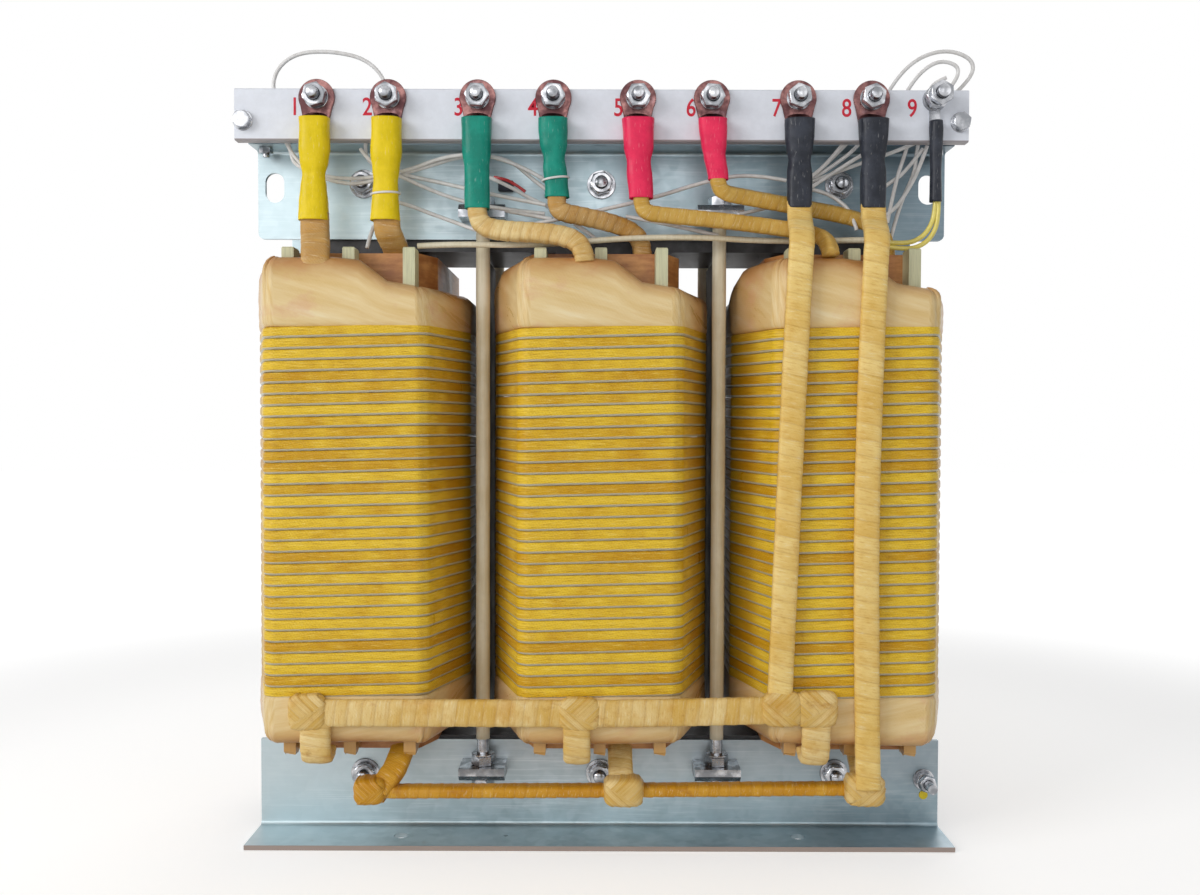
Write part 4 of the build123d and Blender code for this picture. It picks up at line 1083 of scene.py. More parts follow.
# ---------------------------------------------------------------------------
# Node trees that repeat a piece
# ---------------------------------------------------------------------------
class RepeatTree:
    """A node tree that sets one pattern piece at each point of a cloud."""

    name = "set at points"
    inputs = {
        "Pattern": "Object", "Axis": "Vector", "Turn Range": "Float", "Seed": "Int", "Finish": "Material"
    }

    def __init__(self) -> None:
        """Make the tree's named sockets, then lay out its nodes."""
        self.tree = bpy.data.node_groups.new(self.name, "GeometryNodeTree")
        face = self.tree.interface
        for label, kind in {"Geometry": "Geometry", **self.inputs}.items():
            face.new_socket(label, in_out="INPUT", socket_type=f"NodeSocket{kind}")
        face.new_socket("Geometry", in_out="OUTPUT", socket_type="NodeSocketGeometry")
        nodes = Nodes(self.tree)
        given, out = nodes.add("NodeGroupInput").outputs, nodes.add("NodeGroupOutput")
        dress = nodes.add("GeometryNodeSetMaterial")
        nodes.wire(self.lay_out(nodes, given), dress.inputs["Geometry"])
        nodes.wire(given["Finish"], dress.inputs["Material"])
        nodes.wire(dress.outputs[0], out.inputs[0])

    def lay_out(self, nodes: Nodes, given: bpy.types.NodeOutputs) -> Socket:
        """Lay out the nodes between the inputs and the finish.

        Args:
            nodes: The tree's helper.
            given: The tree's input sockets by name.

        Returns:
            The geometry socket that the finish is put on.
        """
        pattern = nodes.add("GeometryNodeObjectInfo")
        chance = nodes.add("FunctionNodeRandomValue", data_type="FLOAT")
        turn = nodes.add("FunctionNodeAxisAngleToRotation")
        place = nodes.add("GeometryNodeInstanceOnPoints")
        real = nodes.add("GeometryNodeRealizeInstances")
        low, high = [s for s in chance.inputs if s.type == "VALUE"][:2]
        for source, target in (
            (given["Pattern"], pattern.inputs["Object"]),
            (nodes.times(given["Turn Range"], -1.0), low),
            (given["Turn Range"], high),
            (given["Seed"], chance.inputs["Seed"]),
            (given["Axis"], turn.inputs["Axis"]),
            ([s for s in chance.outputs if s.type == "VALUE"][0], turn.inputs["Angle"]),
            (given["Geometry"], place.inputs["Points"]),
            (pattern.outputs["Geometry"], place.inputs["Instance"]),
            (turn.outputs[0], place.inputs["Rotation"]),
            (place.outputs[0], real.inputs[0]),
        ):
            nodes.wire(source, target)
        return real.outputs[0]

    def run(self, piece: Piece, values: dict[str, object]) -> Piece:
        """Run the tree on a piece.

        Args:
            piece: The piece that gets the tree.
            values: The tree's inputs by name.

        Returns:
            What the tree makes, as a plain mesh.
        """
        modifier = piece.modifiers.new(self.name, "NODES")
        modifier.node_group = self.tree
        for item in self.tree.interface.items_tree:
            if item.in_out == "INPUT" and item.name in values:
                modifier[item.identifier] = values[item.name]
        return made_plain(piece)

    def place(
        self,
        name: str,
        pattern: Piece,
        points: Sequence[Point],
        finish: Material,
        axis: Point = (0.0, 1.0, 0.0),
        turn: float = 0.0,
        seed: int = 1,
    ) -> Piece:
        """Set a pattern at points and keep the result as a plain mesh.

        Args:
            name: The finished piece's name.
            pattern: The pattern, modelled at the origin.
            points: Where the copies go, in millimetres.
            finish: Their material.
            axis: The axis that each copy is turned about.
            turn: How far a copy may be turned either way, in degrees.
            seed: Seed of the turns.

        Returns:
            The finished piece. The pattern is removed.
        """
        turned = {"Axis": axis, "Turn Range": math.radians(turn), "Seed": seed}
        made = self.run(
            mesh_piece(name, points, [], finish), {"Pattern": pattern, **turned, "Finish": finish}
        )
        discard(pattern)
        return made


class TurnTree(RepeatTree):
    """A node tree that stacks a coil's turns and lets each one climb round the coil."""

    name = "stacked turns"
    inputs = {
        "Turn": "Object", "Count": "Int", "Pitch": "Float", "First": "Vector",
        "Climb": "Float", "Half Size": "Vector", "Finish": "Material",
    }

    def lay_out(self, nodes: Nodes, given: bpy.types.NodeOutputs) -> Socket:
        """Stack the turns, number them, and raise each along its run."""
        line = nodes.add("GeometryNodeMeshLine")
        turn = nodes.add("GeometryNodeObjectInfo")
        stack = nodes.add("GeometryNodeInstanceOnPoints")
        keep = nodes.add("GeometryNodeStoreNamedAttribute", data_type="FLOAT", domain="INSTANCE")
        keep.inputs["Name"].default_value = "turn"
        number = [s for s in keep.inputs if s.name == "Value" and s.type == "VALUE"][0]
        real = nodes.add("GeometryNodeRealizeInstances")
        move = nodes.add("GeometryNodeSetPosition")
        here = nodes.add("ShaderNodeVectorMath", operation="SUBTRACT")
        share = nodes.add("ShaderNodeVectorMath", operation="DIVIDE")
        for source, target in (
            (given["Count"], line.inputs["Count"]),
            (given["First"], line.inputs["Start Location"]),
            (nodes.vector(0.0, 0.0, given["Pitch"]), line.inputs["Offset"]),
            (given["Turn"], turn.inputs["Object"]),
            (line.outputs[0], stack.inputs["Points"]),
            (turn.outputs["Geometry"], stack.inputs["Instance"]),
            (stack.outputs[0], keep.inputs["Geometry"]),
            (nodes.add("GeometryNodeInputIndex").outputs[0], number),
            (keep.outputs[0], real.inputs[0]),
            (nodes.add("GeometryNodeInputPosition").outputs[0], here.inputs[0]),
            (given["First"], here.inputs[1]),
            (here.outputs[0], share.inputs[0]),
            (given["Half Size"], share.inputs[1]),
            (real.outputs[0], move.inputs["Geometry"]),
        ):
            nodes.wire(source, target)
        x, y, _ = nodes.parts(share.outputs[0])
        climb = nodes.times(nodes.times(x, y), given["Climb"])
        nodes.wire(nodes.vector(0.0, 0.0, nodes.times(climb, -0.5)), move.inputs["Offset"])
        return move.outputs[0]


# ---------------------------------------------------------------------------
# Sub-assemblies
# ---------------------------------------------------------------------------
@dataclass
class Part:
    """What each sub-assembly shares: its finishes and its repeat tree."""

    palette: Palette
    repeat: RepeatTree


@dataclass
class Ironwork(Part):
    """Core, clamps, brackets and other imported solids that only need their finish."""

    dressed: tuple[tuple[str, str], ...] = (
        ("core_varnish", "laminated_core"),
        ("galvanised_sheet", "lower_clamp_front lower_clamp_rear upper_clamp_front upper_clamp_rear"),
        ("zinc_hardware", "tie_rod_brackets tie_rods board_brackets earth_stud earth_lug"),
        ("pale_board", "terminal_board"),
        ("inner_coil", "inner_winding_left inner_winding_middle inner_winding_right"),
        ("pressboard", "coil_former_left coil_former_middle coil_former_right"),
    )

    def build(self, nodes: dict[str, Piece]) -> None:
        """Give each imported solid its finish.

        Args:
            nodes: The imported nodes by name.
        """
        for finish, names in self.dressed:
            for name in names.split():
                mesh = nodes[name].data
                mesh.materials.clear()
                mesh.materials.append(self.palette[finish])
                LOG.info("dressed %s in %s", name, finish)


@dataclass
class Fastener:
    """Patterns for nuts, bolt heads, washers and studs, modelled along Z from 0 up."""

    finish: Material
    across_flats: float = 17.0
    height: float = 8.0
    bore: float = 5.0
    chamfer: float = 1.1
    around: int = 36

    def hexagon(self, bored: bool = True) -> Piece:
        """A hexagon with chamfered corners.

        Args:
            bored: Whether it has a bore, as a nut does.

        Returns:
            The pattern.
        """
        apothem = self.across_flats / 2
        tall, cut = self.height, self.chamfer
        wide = apothem * 1.16
        levels = (
            (0.0, apothem * 0.98),
            (cut * 0.5, wide),
            (tall - cut, wide),
            (tall - cut * 0.4, apothem * 1.06),
            (tall, apothem * 0.94),
        )
        points: list[Point] = []
        for z, limit in levels:
            for c, s in circle(self.around, 1.0, 1.0):
                local = (math.atan2(s, c) + math.pi / 6) % (math.pi / 3) - math.pi / 6
                reach = min(apothem / math.cos(local), limit)
                points.append((reach * c, reach * s, z))
        if bored:
            for z, radius in ((tall, self.bore * 1.12), (tall - 0.6, self.bore), (0.0, self.bore)):
                points += [(x, y, z) for x, y in circle(self.around, radius, radius)]
        return skin("hexagon", points, self.around, self.finish, not bored, bored, smooth=False)

    def washer(self, radius: float, thick: float, split: bool = False) -> Piece:
        """A flat or spring washer.

        Args:
            radius: Its outer radius.
            thick: Its thickness.
            split: Whether it is a spring washer, cut and sprung.

        Returns:
            The pattern.
        """
        inside, edge, spring = self.bore + 0.1, 0.3, 0.8 if split else 0.0
        section = (
            (inside, 0.0), (radius - edge, 0.0), (radius, edge),
            (radius, thick - edge), (radius - edge, thick), (inside, thick),
        )
        points: list[Point] = []
        for r, z in section:
            for k, (x, y) in enumerate(circle(self.around, r, r)):
                points.append((x, y, z + (k / (self.around - 1) - 0.5) * spring))
        return skin("washer", points, self.around, self.finish, False, True, smooth=False)

    def stud(self, low: float, high: float, radius: float, pitch: float = 1.5) -> Piece:
        """A threaded stud with a chamfered tip.

        Args:
            low: Where it starts.
            high: Its tip.
            radius: Its radius.
            pitch: Distance between threads.

        Returns:
            The pattern.
        """
        around, tip, rings = 24, 1.2, []
        z, crest = low, True
        while z < high - tip:
            rings.append((z, radius if crest else radius * 0.87))
            z += pitch / 2
            crest = not crest
        rings += [(high - tip, radius * 0.95), (high, radius * 0.7)]
        points: list[Point] = []
        for level, wide in rings:
            lead = pitch * 0.3 if level < high - tip - 0.1 else 0.0
            for k, (x, y) in enumerate(circle(around, wide, wide)):
                points.append((x, y, min(level + lead * k / around, high)))
        return skin("stud", points, around, self.finish)


def facing_front(pattern: Piece, y: float = 0.0) -> Piece:
    """Turn a pattern's Z axis to face -Y, and move it to a depth in millimetres."""
    pattern.data.transform(Matrix.Rotation(math.radians(90), 4, "X"))
    return moved(pattern, 0.0, y, 0.0)


@dataclass
class Coils(Part):
    """Outer coils, their tape collars, their duct sticks, and near-black phase barriers between them that
    put painted shade in the gaps.
    """

    pitch: float = 200.0
    turns: int = 33
    turn_pitch: float = 8.845
    winding_bottom: float = 131.7
    winding_top: float = 423.585
    band_bottom: float = 94.0
    band_top: float = 454.785
    shoulder_rise: float = 23.0
    half_span: float = 53.0
    inside_x: float = 75.0
    inside_y: float = 114.5
    side_flat: float = 48.0
    build_depth: float = 14.5
    half_size: Flat = (89.5, 129.0)
    climb: float = 5.0
    corner: float = 10.0
    stick_ends: Flat = (82.4, 486.6)
    outer_stick: Flat = (9.6, 18.6)
    inner_stick: Flat = (9.6, 19.6)
    # Size and ends of the near-black barriers that paint shade in the gaps between the coils.
    shade_barrier_half: Flat = (0.8, 58.0)
    shade_barrier_ends: Flat = (84.0, 490.0)

    def outline(self, build: float) -> list[Flat]:
        """Outline of the coil this far out from its inside wall.

        Args:
            build: Distance from the inside wall.

        Returns:
            Rounded outline points, the same count for any distance.
        """
        run_x, run_y = self.inside_x - self.half_span, self.inside_y - self.side_flat
        flank = math.hypot(run_x, run_y)
        normal_x, normal_y = run_y / flank, run_x / flank
        cut = build * math.tan(math.atan2(run_y, run_x) / 4)
        front = (self.half_span + cut, self.inside_y + build)
        shoulder = (
            self.half_span + build * normal_x - cut * run_x / flank,
            self.inside_y + build * normal_y + cut * run_y / flank,
        )
        reach = normal_x * self.half_span + normal_y * self.inside_y + build
        side_x = self.inside_x + build
        side = (side_x, (reach - normal_x * side_x) / normal_y)
        quarter = [side, shoulder, front]
        upper = quarter + [(-x, y) for x, y in reversed(quarter)]
        corners = upper + [(-x, -y) for x, y in upper]
        return rounded(corners, self.corner, 5, 4)

    def turn(self) -> Piece:
        """One flat taped conductor round the coil, thin at its inside."""
        half, out = self.turn_pitch / 2, self.build_depth
        section = (
            (6.0, -0.97, 1.0), (
                out - 1.0, -0.97, 1.0
            ), (out - 0.3, -0.62, 1.0), (out, -0.5, 0.0), (out + 0.05, 0.2, 0.0),
            (out - 0.1, 0.62, 0.0), (out - 0.75, 0.9, 0.0), (out - 1.5, 0.97, 0.4), (6.0, 0.97, 0.4),
        )
        rings = [[(x, y, half * high) for x, y in self.outline(build)] for build, high, _ in section]
        around = len(rings[0])
        points = [p for ring in rings for p in ring]
        piece = skin("turn", points, around, self.palette["coil_tape"], False, True, merged=False)
        gap = piece.data.attributes.new("gap", "FLOAT", "POINT")
        for i in range(len(points)):
            gap.data[i].value = section[i // around][2]
        return piece

    def rim(self, x: float, y: float) -> float:
        """Height of the upper collar's rim.

        Args:
            x: Place across the coil.
            y: Place through the coil.

        Returns:
            The rim's height.
        """
        left = 1.0 - smoothstep(2.0, 40.0, x)
        front = 1.0 - smoothstep(-66.0, 34.0, y)
        return self.band_top + self.shoulder_rise * left * front

    def collar(
        self, name: str, low: float, top: Callable[[float, float], float], free_end_up: bool, seed: int
    ) -> Piece:
        """Tape pulled over an end of the coil.

        Args:
            name: The piece's name.
            low: Its lower edge.
            top: Height of its upper edge at any place.
            free_end_up: Whether the rounded end is the upper one.
            seed: Seed of its folds.

        Returns:
            The closed collar.
        """
        dice = random.Random(seed)
        phases = [(dice.uniform(0, 6.28), dice.randint(3, 17), dice.uniform(0.12, 0.5)) for _ in range(9)]
        profile = (
            (0.0, -3.2), (0.015, -1.2), (0.06, 0.1), (0.13, 0.55), (0.22, 0.3), (0.34, 0.7), (0.46, 0.45),
            (0.57, 0.8), (0.68, 0.5), (0.78, 0.3), (0.86, -0.8), (0.93, -3.0), (0.98, -6.5), (1.0, -9.5),
        )
        way = 1.0 if free_end_up else -1.0

        def level(x: float, y: float, share: float) -> float:
            return low + (top(x, y) - low) * (share if free_end_up else 1.0 - share)

        points: list[Point] = []
        tape: list[Flat] = []
        for share, proud in profile:
            base = self.outline(self.build_depth + proud)
            for k, (x, y) in enumerate(base):
                turn = 2 * math.pi * k / len(base)
                fold = sum(w * math.sin(n * turn + p + share * 2.0) for p, n, w in phases)
                grow = 1.0 + 0.0045 * fold * (0.3 + share)
                points.append((x * grow, y * grow, level(x, y, share) + way * 0.5 * fold * share))
                tape.append((k / len(base), share))
        inner = self.outline(1.2)
        for share in (1.0, 0.0):
            for k, (x, y) in enumerate(inner):
                points.append((x, y, level(x, y, share) - way * 1.5 * share))
                tape.append((k / len(inner), share))
        finish = self.palette["collar_tape"]
        return skin(name, points, len(inner), finish, False, True, tape=tape, merged=False)

    def sticks(self, name: str, size: Flat, places: Sequence[Point], seed: int) -> Piece:
        """Duct sticks with worn tops and ragged feet.

        Args:
            name: The piece's name.
            size: Width and depth of a stick.
            places: Where the sticks stand.
            seed: Seed of their small turns.

        Returns:
            All the sticks as one piece.
        """
        width, depth = size
        low, high = self.stick_ends
        dice = random.Random(int(width * depth))
        across = 5
        points: list[Point] = []
        for level in (low, low + 2.0, low + 6.0, (low + high) / 2, high - 1.2, high):
            shrink = 0.88 if level in (low, high) else 1.0
            for k in range(4 * across):
                side, part = divmod(k, across)
                t = part / across * 2 - 1
                x, y = ((t, -1), (1, t), (-t, 1), (-1, -t))[side]
                drop = dice.uniform(-1.8, 0.8) if level == low else 0.0
                points.append((x * width / 2 * shrink, y * depth / 2 * shrink, level + drop))
        finish = self.palette["duct_stick"]
        pattern = skin("stick", points, 4 * across, finish, smooth=False)
        return self.repeat.place(name, pattern, places, finish, UP, 1.2, seed)

    def barrier(self, x: float) -> Piece:
        """Thin near-black phase barrier that stands between two coils, centred on `x`; its darkness is
        painted shade in the gap.
        """
        half, reach = self.shade_barrier_half
        around = ((-1, -1), (1, -1), (1, 1), (-1, 1))
        points = [(x + a * half, b * reach, level) for level in self.shade_barrier_ends for a, b in around]
        return skin("barrier", points, 4, self.palette["barrier_board"], False, smooth=False)

    def build(self) -> None:
        """Build all three coils and fix them to the transformer."""
        tree = TurnTree()
        turn = self.turn()
        first = (self.winding_bottom + self.turn_pitch / 2) * MM
        for number, side in enumerate(("left", "middle", "right")):
            centre = (number - 1) * self.pitch
            values = {
                "Turn": turn,
                "Count": self.turns,
                "Pitch": self.turn_pitch * MM,
                "First": (centre * MM, 0.0, first),
                "Climb": self.climb * MM,
                "Half Size": (self.half_size[0] * MM, self.half_size[1] * MM, 1.0),
                "Finish": self.palette["coil_tape"],
            }
            coil = tree.run(mesh_piece(f"taped_turns_{side}", [], [], self.palette["coil_tape"]), values)
            seat(coil, "yellow_coil_tape", [f"outer_winding_{side}"])
            low, lap = self.band_bottom - 0.5, self.winding_bottom + 1.5
            lower = self.collar(f"collar_low_{side}", low, lambda x, y: lap, False, 11 + number)
            upper = self.collar(f"collar_high_{side}", self.winding_top - 1.5, self.rim, True, 21 + number)
            seat(moved(lower, centre, 0.0, 0.0), "varnished_tape")
            seat(moved(upper, centre, 0.0, 0.0), "varnished_tape", [f"end_bands_{side}"])
            outer = [(centre + x, y, 0.0) for x in (-48.0, 0.0, 48.0) for y in (-105.0, 105.0)]
            inner = [(centre + x, y, 0.0) for x in (-30.0, 0.0, 30.0) for y in (-63.5, 63.5)]
            rows = [
                self.sticks("outer_sticks", self.outer_stick, outer, number),
                self.sticks("inner_sticks", self.inner_stick, inner, number + 5),
            ]
            seat(joined(f"duct_sticks_dressed_{side}", rows), "duct_stick_board", [f"duct_sticks_{side}"])
        discard(turn)
        # Painted shade: the near-black barriers darken the gaps between the coils.
        gaps = (-self.pitch / 2, self.pitch / 2)
        seat(joined("phase_barriers", [self.barrier(x) for x in gaps]), "core_varnish")


@dataclass
class Fixings(Part):
    """Studs, nuts, bolts, washers and tie rods."""

    terminal_x: tuple[float, ...] = (-227.5, -170.5, -99.0, -38.5, 29.0, 88.0, 157.0, 215.5)
    earth_x: float = 266.0
    terminal_drop: float = 7.8
    clamp_face: float = 54.0
    yoke_x: float = 200.0
    yoke_z: Flat = (49.0, 548.0)
    rod_x: float = 98.0
    rod_y: float = 69.5
    rod_nut_z: Point = (42.0, 61.0, 526.8)
    tube_radius: float = 5.75
    end_bolt_x: float = 287.0
    end_bolt_drop: float = 25.8
    angle_bolt_x: float = 278.0
    angle_bolt_y: float = -68.0

    def row(
        self,
        name: str,
        pattern: Piece,
        places: Sequence[Point],
        seed: int = 1,
        axis: Point = (0.0, 1.0, 0.0),
        finish: str = "zinc_hardware",
    ) -> Piece:
        """Set one pattern at each place, each copy turned a little."""
        return self.repeat.place(name, pattern, places, self.palette[finish], axis, 30.0, seed)

    def through(self, name: str, rows: Iterable[tuple], replaced: Sequence[str]) -> None:
        """Build one piece of rows that lie along Y.

        Args:
            name: The piece's name.
            rows: For each row its name, pattern, depth along Y, places and seed.
            replaced: The CAD nodes that the piece stands for.
        """
        made = [
            self.row(label, facing_front(pattern, depth), places, seed)
            for label, pattern, depth, places, seed in rows
        ]
        seat(joined(name, made), "zinc_hardware", replaced)

    def terminals(self) -> None:
        """Studs through the board, each with washers and nut."""
        zinc = self.palette["zinc_hardware"]
        board_low, board_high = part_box("terminal_board")
        stud_z = board_high.z / MM - self.terminal_drop
        face = -board_low.y / MM
        back = -board_high.y / MM
        places = [(x, 0.0, stud_z) for x in self.terminal_x]
        every = [*places, (self.earth_x, 0.0, stud_z)]
        earth = every[-1:]
        maker = Fastener(zinc)
        rows = (
            ("studs", maker.stud(back - 6, face + 21.0, 5.0), 0.0, places, 1),
            ("stud_earth", maker.stud(back - 6, face + 29.0, 5.0), 0.0, earth, 1),
            ("heads", Fastener(zinc, height=6.4).hexagon(False), -(back - 6.4), every, 4),
            ("flat_washers", maker.washer(9.6, 1.4), -(face + 3.0), every, 5),
            ("spring_washers", maker.washer(8.2, 2.0, True), -(face + 4.5), every, 6),
            ("nuts", Fastener(zinc, height=7.0).hexagon(), -(face + 6.6), every, 7),
            ("earth_second_nut", Fastener(zinc, height=6.0).hexagon(), -(face + 17.0), earth, 9),
        )
        self.through("terminal_studs", rows, ["terminal_bolts", "terminal_nuts"])

    def yoke_bolts(self) -> None:
        """Bolts through both clamps, with a wide washer under each end, and a small and a spring washer
        under the nut.
        """
        face = self.clamp_face
        spots = [(x, 0.0, z) for x in (-self.yoke_x, 0.0, self.yoke_x) for z in self.yoke_z]
        maker = Fastener(self.palette["zinc_hardware"])
        head = Fastener(self.palette["zinc_hardware"], height=6.4)
        rows = (
            ("yoke_studs", maker.stud(-(face + 12.0), face + 16.5, 5.0), 0.0, spots, 2),
            ("yoke_wide", maker.washer(12.0, 2.0), -face, spots, 3),
            ("yoke_small", maker.washer(9.4, 1.2), -(face + 2.0), spots, 4),
            ("yoke_spring", maker.washer(8.2, 1.8, True), -(face + 3.2), spots, 5),
            ("yoke_hex", head.hexagon(), -(face + 4.6), spots, 6),
            ("yoke_back_wide", maker.washer(12.0, 2.0), face + 2.0, spots, 7),
            ("yoke_back_head", head.hexagon(False), face + 2.0 + head.height, spots, 8),
        )
        self.through("yoke_fixings", rows, ["yoke_bolts", "yoke_nuts", "yoke_washers"])

    def tie_rods(self) -> None:
        """Nuts above and below each bracket, and the cream tubes."""
        rods = [(x, y, 0.0) for x in (-self.rod_x, self.rod_x) for y in (-self.rod_y, self.rod_y)]
        nut = Fastener(self.palette["zinc_hardware"])
        pieces = [
            self.row(f"rod_nuts_{number}", moved(nut.hexagon(), 0.0, 0.0, level), rods, number, UP)
            for number, level in enumerate(self.rod_nut_z)
        ]
        pieces.append(self.row("rod_washers", moved(nut.washer(9.6, 1.4), 0.0, 0.0, 69.2), rods, axis=UP))
        pieces.append(self.row("rod_threads", nut.stud(62.0, 84.0, 5.05), rods, axis=UP))
        seat(joined("tie_rod_fixings", pieces), "zinc_hardware", ["tie_rod_nuts"])
        low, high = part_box("tie_rod_sleeves")
        around, levels = 28, 60
        points: list[Point] = []
        bottom, top = low.z / MM, high.z / MM
        for level in range(levels + 1):
            z = bottom + (top - bottom) * level / levels
            for k, (c, s) in enumerate(circle(around, 1.0, 1.0)):
                ripple = math.sin(6 * math.pi * k / around + z * 0.02)
                r = self.tube_radius + 0.12 * math.sin(z * 0.045) + 0.06 * ripple
                points.append((r * c, r * s, z))
        tube = skin("tube", points, around, self.palette["cream_sleeving"])
        tubes = self.row("tie_rod_tubes", tube, rods, axis=UP, finish="cream_sleeving")
        seat(tubes, "cream_sleeving", ["tie_rod_sleeves"])

    def board_bolts(self) -> None:
        """End bolts of the board and the bolts that hold its angles."""
        zinc = self.palette["zinc_hardware"]
        low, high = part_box("terminal_board")
        face, back = -low.y / MM, -high.y / MM
        ends = [(x, 0.0, high.z / MM - self.end_bolt_drop) for x in (-self.end_bolt_x, self.end_bolt_x)]
        angles = [(x, self.angle_bolt_y, 0.0) for x in (-self.angle_bolt_x, self.angle_bolt_x)]
        small = Fastener(zinc, 13.0, 5.0, 4.0, 0.8)
        tiny = Fastener(zinc, 10.0, 5.0, 3.0, 0.7)
        along = (
            ("end_washers", small.washer(8.0, 1.6), -face, 1),
            ("end_heads", small.hexagon(False), -(face + 1.6), 3),
            ("end_shanks", small.stud(back - 11.0, face + 1.6, 4.0, 1.25), 0.0, 1),
            ("end_nuts", small.hexagon(), -(back - 8.4), 5),
        )
        upright = (
            ("angle_nuts", moved(tiny.hexagon(), 0.0, 0.0, 570.0)),
            ("angle_heads", moved(tiny.hexagon(False), 0.0, 0.0, 582.0)),
            ("angle_shanks", tiny.stud(567.0, 582.0, 3.0, 1.0)),
        )
        pieces = [self.row(name, facing_front(pattern, y), ends, seed) for name, pattern, y, seed in along]
        pieces += [self.row(name, pattern, angles, axis=UP) for name, pattern in upright]
        seat(joined("board_fixings", pieces), "zinc_hardware", ["board_bolts", "board_nuts"])

    def earth_point(self) -> None:
        """Washers and nuts on the clamp's earth stud."""
        low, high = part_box("earth_nut")
        middle = (low + high) / 2 / MM
        spot = [(middle.x, 0.0, middle.z)]
        maker = Fastener(self.palette["zinc_hardware"], 13.0, 6.0, 4.0, 0.8)
        face = self.clamp_face
        rows = (
            ("earth_wide", maker.washer(9.0, 1.4), -face, spot, 1),
            ("earth_hex", maker.hexagon(), -(face + 1.6), spot, 3),
            ("earth_small", maker.washer(7.4, 1.2), -(face + 8.4), spot, 1),
            ("earth_hex_outer", maker.hexagon(), -(face + 10.0), spot, 8),
            ("earth_thread", maker.stud(face, face + 27.9, 4.03, 1.25), 0.0, spot, 1),
        )
        self.through("earth_point_nuts", rows, ["earth_nut"])

    def build(self) -> None:
        """Build every fastener."""
        self.terminals()
        self.yoke_bolts()
        self.tie_rods()
        self.board_bolts()
        self.earth_point()


@dataclass(frozen=True)
class SleeveShape:
    """One shrunk sleeve: its terminal, finish and outline."""

    name: str
    x: float
    length: float
    finish: str
    widths: tuple[Flat, ...]
    lean: tuple[Flat, ...] = ((0.0, 0.0), (1.0, 0.0))
    depth_share: float = 0.7


SLEEVES = (
    SleeveShape(
        "sleeve_1", -227.5, 80.6, "sleeve_yellow",
        (
            (0, 24.4), (0.08, 23.6), (0.3, 24.6), (0.42, 22.4), (0.56, 18), (0.68, 20.4), (0.84, 22.8),
            (1, 24),
        ),
        ((0, 0), (1, -0.8)),
    ),
    SleeveShape(
        "sleeve_2", -170.5, 80.6, "sleeve_yellow",
        (
            (0, 23.4), (0.12, 23), (0.34, 24.6), (0.5, 21.6), (0.62, 19.6), (0.76, 20.8), (0.9, 22.4),
            (1, 23.8),
        ),
        ((0, 0), (1, -1)),
    ),
    SleeveShape(
        "sleeve_3", -99, 71, "sleeve_green",
        ((0, 24.4), (0.14, 23.4), (0.38, 22.6), (0.55, 20), (0.7, 19.6), (0.88, 20), (1, 19.6)),
        ((0, 0), (1, 0.6)),
    ),
    SleeveShape(
        "sleeve_4", -38.5, 62, "sleeve_green",
        ((0, 23.2), (0.14, 23.2), (0.32, 21.6), (0.5, 17.2), (0.66, 19), (0.86, 18.2), (1, 19.4)),
        ((0, 0), (0.5, 0.8), (1, 3.4)),
    ),
    SleeveShape(
        "sleeve_5", 29, 62.5, "sleeve_red",
        ((0, 25.6), (0.16, 24.4), (0.34, 24), (0.55, 19.6), (0.72, 20.2), (1, 19)),
        ((0, 0), (0.5, 0.6), (1, 2.4)),
    ),
    SleeveShape(
        "sleeve_6", 88, 47.6, "sleeve_red",
        ((0, 23), (0.16, 22.6), (0.42, 20.6), (0.6, 18.2), (0.8, 17), (1, 16)),
        ((0, 0), (0.5, 1.2), (1, 4.6)),
    ),
    SleeveShape(
        "sleeve_7", 157, 70, "sleeve_black",
        ((0, 23.6), (0.18, 23), (0.34, 20.4), (0.46, 17.4), (0.6, 20), (0.8, 19.6), (1, 19.2)),
    ),
    SleeveShape(
        "sleeve_8", 215.5, 70, "sleeve_black",
        ((0, 23.8), (0.18, 23), (0.34, 20.8), (0.46, 18), (0.6, 20.4), (0.8, 20.2), (1, 20)),
    ),
)


